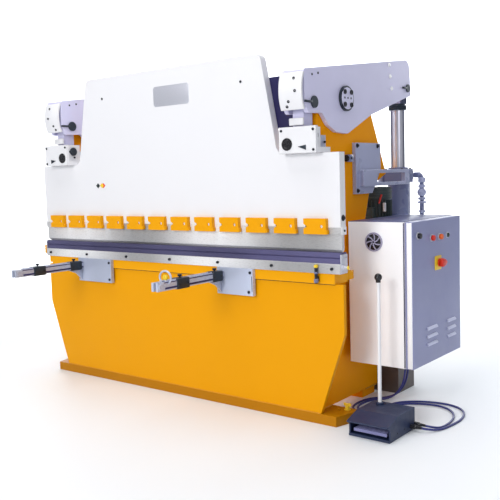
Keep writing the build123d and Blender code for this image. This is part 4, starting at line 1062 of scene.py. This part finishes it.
def dressArm(hand, values):
    low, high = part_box(hand + "_support_arm")
    midX, midZ = (low.x + high.x) / 2, (low.z + high.z) / 2
    body = hand + "_arm"
    grip = values["grip"]
    stops, bright, dark, grooveShade = newMeshes(4)
    for start, end in values["stops"][hand]:
        # clamp block round the bar, with a thumb screw
        top = high.z + grip + 0.001
        addBlock(stops, (low.x - grip, start, low.z - grip), (high.x + grip, end, top), 0.006)
        addTurned(dark, (midX, (start + end) / 2, top), upward, values["thumbScrew"])
        for y in (start + 0.014, end - 0.014):
            addSocketHead(dark, (high.x + grip, y, midZ), toRight, 0.006, 0.003)
    for x in (low.x + 0.011, high.x - 0.011):  # guide rails along the top
        addTube(bright, [(x, y, high.z + 0.0015) for y in values["rails"]], 0.0045)
    end = values["rails"][-1]
    # dark strip along the top: painted shade standing in for the groove
    addBlock(grooveShade, (midX - 0.01, -0.535, high.z - 0.0005), (midX + 0.01, end, high.z + 0.0008), 0.0003)
    for x, way in ((high.x, 1), (low.x, -1)):  # painted shade lines down both sides, standing in for the slot shadows
        for start, bottom, top in ((-0.545, low.z + 0.007, low.z + 0.018),
                                   (-0.55, high.z - 0.007, high.z - 0.001)):
            addBlock(grooveShade, (x - way * 0.0005, start, bottom), (x + way * 0.0008, end, top), 0.0003)
    makePiece(hand + "ArmGrooves", grooveShade, "navyGuard", body, "pin_steel")
    gusset = [(y, low.z + rise) for y, rise in values["gusset"]]
    addSlab(bright, gusset, "X", midX - 0.006, midX + 0.006, 0.002)
    for x, way in ((low.x, -1), (high.x, 1)):  # rounded cheeks beside the open slot
        addTurned(bright, (x, low.y + 0.024, midZ), (way, 0, 0), values["cheek"])
    if hand in values["ring"]:
        ringY, ringZ = values["ring"][hand], high.z + 0.02
        wide, tall, bar = values["ringSize"]
        ring = [(midX + wide * u, ringY, ringZ + tall * v) for u, v in ringPoints(1, 40)]
        addTube(bright, ring, bar, 10, closed=True)
        addTurned(bright, (midX, ringY, high.z - 0.001), upward, values["hubFoot"])
        hub = bmesh.new()
        addTurned(hub, (midX, ringY - 0.008, ringZ), toBack, values["hub"])
        makePiece(hand + "ArmRingHub", hub, "yellowPlastic", body, "jack_paint")
    makePieces(hand + "Arm", body, (
        ("Stops", stops, "pin_steel"),
        ("Rails", bright, "arm_steel"),
        ("Screws", dark, "fastener_steel"),
    ))


for hand in ("left", "right"):
    dressArm(hand, armTrim)

bracketTrim = {
    "screws": ((-0.562, 0.826), (-0.562, 0.712), (-0.864, 0.712), (0.652, 0.826), (0.64, 0.712), (0.42, 0.712)),
    "slot": (0.6635, 0.002, 0.716, 0.806),  # x, half width, z from and to
}


def dressBrackets(values):
    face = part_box("support_brackets")[0].y
    screws, slot = newMeshes(2)
    for x, z in values["screws"]:
        addSocketHead(screws, (x, face, z), toFront, 0.0085, 0.005)
    x, half, bottom, top = values["slot"]
    addBlock(slot, (x - half, face - 0.0008, bottom), (x + half, face + 0.001, top), 0.0003)
    makePiece("bracketScrews", screws, "fastener_steel", "frame")
    makePiece("bracketSlot", slot, "black_plastic", "frame")


dressBrackets(bracketTrim)
print("support arms dressed")


# control cabinet
cabinetTrim = {
    "fanRadii": (0.006, 0.016, 0.026, 0.035, 0.044),
    "fanBlades": 7,
    "lamp": (0.755, 1.002, 0.0145),
    "buttons": ("black_button", "red_button", "orange_button"),
    "switchPlate": (0.044, 0.041, 0.008),  # half width, half height, corner
    "grip": ((-0.018, -0.021), (0.022, -0.019), (0.047, 0), (0.022, 0.019), (-0.018, 0.021)),
    "louvreColumns": ((0.47, 0.604), (0.745, 0.863)),
    "louvreHeights": (0.485, 0.439, 0.393),
    "hood": (0.016, 0.011, 0.0016),  # height, reach, sheet thickness
    "hingeHeights": (0.125, 0.095),  # up from the door's foot, down from its top
}


def dressFan(values):
    fan = centreOf("fan_grille")
    fan.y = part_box("fan_grille")[0].y
    shade, blades = newMeshes(2)
    addTurned(shade, fan, toFront, [(0.045, -0.0005), (0.045, 0.0006), (0.044, 0.001), (0, 0.001)], 36)
    for i in range(values["fanBlades"]):
        angle = 2 * math.pi * i / values["fanBlades"]
        swirl = [(r, angle + r * 14) for r in values["fanRadii"]]
        blade = [fan + Vector((r * math.cos(a), -0.0018, r * math.sin(a))) for r, a in swirl]
        addTube(blades, blade, 0.0036, 8)
    makePiece("fanShade", shade, "black_plastic", "frame")
    makePiece("fanBlades", blades, "grilleSteel", "frame", "black_plastic")


def dressCabinet(values):
    shellLow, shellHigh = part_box("cabinet_shell")
    doorLow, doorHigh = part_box("cabinet_door")
    face, front = doorHigh.x, shellLow.y
    collars, plate, lamp, hoods, screws, lip, joint, lid = newMeshes(8)
    for name in values["buttons"]:
        at = centreOf(name)
        addCollar(collars, (face, at.y, at.z), toRight, 0.0113, 0.0205, 0.0022, 0.0008)
        addCollar(collars, (face, at.y, at.z), toRight, 0.0172, 0.0205, 0.006, 0.0015)
    lampY, lampZ, lampRadius = values["lamp"]
    addCollar(collars, (face, lampY, lampZ), toRight, lampRadius, lampRadius + 0.0035, 0.006, 0.0015)
    dome = domeRings(lampRadius, 0.011, (0, 20, 40, 60, 75), 0.005)
    addTurned(lamp, (face, lampY, lampZ), toRight, [(lampRadius, 0)] + dome + [(0, 0.016)])
    switch = centreOf("mains_switch")
    addRoundedPlate(plate, (switch.y - 0.012, switch.z), *values["switchPlate"], "X", face, face + 0.003)
    # pale lip down the door's front edge, dark joint beside it, and a dark lid on the cabinet's top as painted
    # shade for the top
    lipLow, lipHigh = shellHigh.x + 0.004, doorHigh.x - 0.004
    bottom, top = doorLow.z + 0.003, doorHigh.z - 0.003
    addSlab(lip, [(lipLow, bottom), (lipHigh, bottom), (lipHigh, top), (lipLow, top)], "Y",
            doorLow.y - 0.0012, doorLow.y + 0.0005, 0.0005)
    addBlock(joint, (doorLow.x - 0.001, front - 0.0012, doorLow.z + 0.004),
             (doorLow.x + 0.0055, front + 0.001, doorHigh.z - 0.004), 0.0004)
    addBlock(lid, (shellLow.x + 0.003, shellLow.y + 0.003, shellHigh.z - 0.0005),
             (doorLow.x - 0.003, shellHigh.y - 0.003, shellHigh.z + 0.003), 0.001)
    makePiece("doorLip", lip, "cabinet_paint", "door")
    makePiece("doorJoint", joint, "navyGuard", "frame", "black_plastic")
    makePiece("cabinetLid", lid, "cabinetLid", "frame", "cabinet_paint")
    high, reach, sheet = values["hood"]
    turns = [math.radians(10 * i) for i in range(10)]
    for start, end in values["louvreColumns"]:
        for foot in [z - 0.003 for z in values["louvreHeights"]]:
            curve = [(face + reach * math.sin(a), foot + high * math.cos(a)) for a in turns]
            under = [(face + (reach - sheet) * math.sin(a), foot + (high - sheet) * math.cos(a))
                     for a in turns[::-1]]
            addSlab(hoods, curve + under, "Y", start + 0.004, end - 0.004, 0.0004)
            for y in (start + 0.0045, end - 0.0045):  # closed ends of the pressed hood
                addSlab(hoods, [(face, foot)] + curve, "Y", y - 0.0008, y + 0.0008, 0.0003)
    hingeUp, hingeDown = values["hingeHeights"]
    for z in (doorLow.z + hingeUp, doorHigh.z - hingeDown):
        for x in (doorHigh.x - 0.03, doorHigh.x - 0.036):
            addButtonHead(screws, (x, doorHigh.y, z), toBack, 0.003, 0.002)
    makePieces("", "door", (
        ("buttonCollars", collars, "zincPlate", "fastener_steel"),
        ("pilotLamp", lamp, "darkGlass", "black_plastic"),
        ("switchPlate", plate, "yellowPlastic", "jack_paint"),
        ("louvreHoods", hoods, "hoodPaint", "door_paint"),
        ("hingeScrews", screws, "zincPlate", "fastener_steel"),
    ))
    # switch handle grip, turning with the switch
    grip = bmesh.new()
    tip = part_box("mains_switch")[1].x
    outline = [(switch.y + u, switch.z + v) for u, v in values["grip"]]
    addSlab(grip, outline, "X", tip - 0.016, tip + 0.004, 0.003)
    makePiece("switchGrip", grip, "red_plastic", "mains_switch")


gearTrim = {
    "terminals": (22, 0.05, 0.0205, 0.016, 0.925, 0.975),  # count, start, pitch, width, z from and to
    "ducts": (0.87, 0.665, 0.38),
    "ductSize": (0.004, 0.034, 0.015, 0.026),  # from and to ahead of the plate, side gap, height
}


def dressGear(values):
    # terminals and wiring ducts on the gear plate
    low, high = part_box("control_gear")
    terminals, ducts = newMeshes(2)
    count, start, pitch, wide, bottom, top = values["terminals"]
    for i in range(count):
        y = low.y + start + i * pitch
        addBlock(terminals, (low.x + 0.074, y, bottom), (low.x + 0.082, y + wide, top), 0.001)
    near, far, gap, tall = values["ductSize"]
    for z in values["ducts"]:
        addBlock(ducts, (low.x + near, low.y + gap, z), (low.x + far, high.y - gap, z + tall), 0.002)
    makePiece("terminalRow", terminals, "whiteNylon", "frame", "gear_plastic")
    makePiece("wiringDucts", ducts, "gear_plastic", "frame")


dressFan(cabinetTrim)
dressCabinet(cabinetTrim)
dressGear(gearTrim)
print("cabinet dressed")


# foot pedal
pedalTrim = {
    "ribs": 11,
    "ribHigh": 0.0022,
    "collar": (0.0107, 0.022, 0.012, 0.003),
    "screwCircle": 0.03,
    "lips": ((0.0005, 0.0835), (-0.084, 0.012)),  # brow ahead of the hood and its z; sill y and z
}


def dressPedal(values):
    treadLow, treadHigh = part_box("pedal_tread")
    hoodLow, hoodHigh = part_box("pedal_hood")
    ribs, collar, screws, lips = newMeshes(4)
    pitch = treadHigh.y - treadLow.y - 0.06
    for i in range(values["ribs"]):
        y = treadLow.y + 0.01 + pitch * i / (values["ribs"] - 1)
        addBlock(ribs, (treadLow.x + 0.008, y, treadHigh.z - 0.0005),
                 (treadHigh.x - 0.008, y + 0.006, treadHigh.z + values["ribHigh"]), 0.001)
    pole = centreOf("pedal_pole")
    addCollar(collar, (pole.x, pole.y, hoodHigh.z), upward, *values["collar"])
    for x, y in arcPoints(pole, values["screwCircle"], 30, 270, 3):
        addSocketHead(screws, (x, y, hoodHigh.z), upward, 0.0045, 0.003)
    for y in (0.0, 0.08, 0.16):
        for x, way in ((hoodLow.x, -1), (hoodHigh.x, 1)):
            addButtonHead(screws, (x, y, 0.03), (way, 0, 0), 0.0045, 0.0025)
    # rolled lips over and under the opening
    (browAhead, browZ), (sillY, sillZ) = values["lips"]
    for lipY, lipZ in ((hoodLow.y + browAhead, browZ), (sillY, sillZ)):
        stops = (hoodLow.x + 0.003, (hoodLow.x + hoodHigh.x) / 2, hoodHigh.x - 0.003)
        addTube(lips, [(x, lipY, lipZ) for x in stops], 0.0035)
    makePiece("treadRibs", ribs, "treadPaint", "pedal_tread", "pedal_paint")
    makePieces("", "frame", (
        ("poleCollar", collar, "pedal_paint"),
        ("pedalScrews", screws, "fastener_steel"),
        ("pedalLips", lips, "pedal_paint"),
    ))


dressPedal(pedalTrim)


# power pack
packTrim = {
    "fins": (28, 1.034, 1.206),  # count, z from and to
    "cowlSlots": (0.0995, 0.103, 0.006, 0.001),
    "cowlTop": [(0.092, 0), (0.09, 0.004), (0.04, 0.007), (0.036, 0.005), (0, 0.005)],
    "bandRadius": 0.107,
    "capacitor": [(0.008, 0), (0.01, 0.003), (0.01, 0.052), (0.007, 0.056), (0, 0.056)],
    "lidEnd": 1.096,
    "filler": (0.8, 0.762),
    "fillerCap": [(0.022, 0), (0.022, 0.012), (0.019, 0.016), (0.01, 0.017), (0.009, 0.026), (0, 0.027)],
    "gauge": (0.8, 0.84, 0.96),  # x, z from and to
    "gaugePlate": (0.014, 0.065, 0.012),
    "valveDial": [(0.012, 0, "hex"), (0.012, 0.012, "hex"), (0.026, 0.014), (0.028, 0.03),
                  (0.024, 0.032), (0, 0.032)],
    "drainPlug": [(0.016, 0, "hex"), (0.016, 0.012, "hex"), (0.009, 0.013), (0, 0.013)],
}


def dressPowerPack(values):
    tankLow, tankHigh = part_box("oil_tank")
    motorLow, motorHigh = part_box("pump_motor")
    valveLow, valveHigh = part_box("valve_block")
    motor, valve = centreOf("pump_motor"), centreOf("valve_block")
    fins, trim, red, pale, lid, fittings = newMeshes(6)
    shell = (motorHigh.x - motorLow.x) / 2 - 0.014
    count, bottom, top = values["fins"]
    for i in range(count):
        angle = 2 * math.pi * i / count
        out = Vector((math.cos(angle), math.sin(angle)))
        flat = Vector((-out.y, out.x)) * 0.0015
        root, tip = motor.xy + out * (shell - 0.002), motor.xy + out * (shell + 0.012)
        addSlab(fins, [root - flat, tip - flat, tip + flat, root + flat], "Z", bottom, top, 0.0006)
    for i in range(3):  # cowl slots around the fan cover
        addCollar(trim, (motor.x, motor.y, 1.222 + i * 0.016), upward, *values["cowlSlots"], 48)
    addTurned(trim, (motor.x, motor.y, motorHigh.z), upward, values["cowlTop"], 40)
    addBlock(trim, (motor.x - 0.05, motorLow.y - 0.03, 1.085),
             (motor.x + 0.05, motorLow.y + 0.018, 1.165), 0.006)
    band = arcPoints(motor, values["bandRadius"], -50, -41, 7)
    addTube(red, [(x, y, 1.188 + 0.009 * i) for i, (x, y) in enumerate(band)], 0.006, 10)
    addTurned(pale, (motor.x + 0.094, motor.y - 0.06, 1.135), upward, values["capacitor"])
    addBlock(lid, (tankLow.x - 0.004, tankLow.y - 0.004, tankHigh.z - 0.012),
             (values["lidEnd"], tankHigh.y + 0.004, tankHigh.z), 0.002)
    addTurned(red, (*values["filler"], tankHigh.z), upward, values["fillerCap"])
    gaugeX, gaugeLow, gaugeHigh = values["gauge"]
    gaugeFace = tankHigh.y + 0.012
    addRoundedPlate(pale, (gaugeX, (gaugeLow + gaugeHigh) / 2), *values["gaugePlate"], "Y",
                    tankHigh.y, gaugeFace, 0.002)
    for z in (gaugeLow + 0.004, gaugeHigh - 0.004):
        addHexHead(fittings, (gaugeX, gaugeFace, z), toBack, 0.014, 0.006)
    for x in (valveLow.x + 0.025, valveLow.x + 0.085):
        addSocketHead(fittings, (x, valve.y, valveHigh.z), upward, 0.01, 0.008)
    addTurned(fittings, (valve.x, valveLow.y, 1.07), toFront, values["valveDial"])
    addTurned(fittings, (tankHigh.x - 0.12, tankHigh.y, 0.06), toBack, values["drainPlug"])
    makePieces("", "frame", (
        ("motorFins", fins, "motor_paint"),
        ("motorCowl", trim, "motor_paint"),
        ("motorRedBand", red, "redTrim", "red_plastic"),
        ("oilGauge", pale, "whiteNylon", "pole_paint"),
        ("tankLid", lid, "tank_paint"),
        ("packFittings", fittings, "zincPlate", "fastener_steel"),
    ))


dressPowerPack(packTrim)


# back gauge
gaugeTrim = {
    "fingers": (-0.45, 0.45),
    "rods": (-0.6, 0.6),
    "knobPlace": (0.36, 0.85),
    "knob": [(0.007, 0), (0.007, 0.012), (0.02, 0.015), (0.022, 0.024), (0.016, 0.032), (0, 0.033)],
    "collar": (0.0152, 0.024, 0.008),
}


def dressGauge(values):
    low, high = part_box("gauge_beam")
    tips, screws, knobs = newMeshes(3)
    face = low.y - 0.006
    for x in values["fingers"]:
        addBlock(tips, (x - 0.028, face, high.z - 0.05), (x + 0.028, low.y + 0.002, high.z - 0.002), 0.002)
        for z in (high.z - 0.038, high.z - 0.016):
            addSocketHead(screws, (x, face, z), toFront, 0.006, 0.004)
    for x in values["rods"]:
        addTurned(knobs, (x, *values["knobPlace"]), upward, values["knob"])
        addCollar(screws, (x, low.y, 0.82), toFront, *values["collar"])
    makePieces("gauge", "back_gauge", (
        ("Tips", tips, "tool_steel"),
        ("Screws", screws, "fastener_steel"),
        ("Knobs", knobs, "black_plastic"),
    ))


dressGauge(gaugeTrim)
print("pedal, power pack and back gauge dressed")
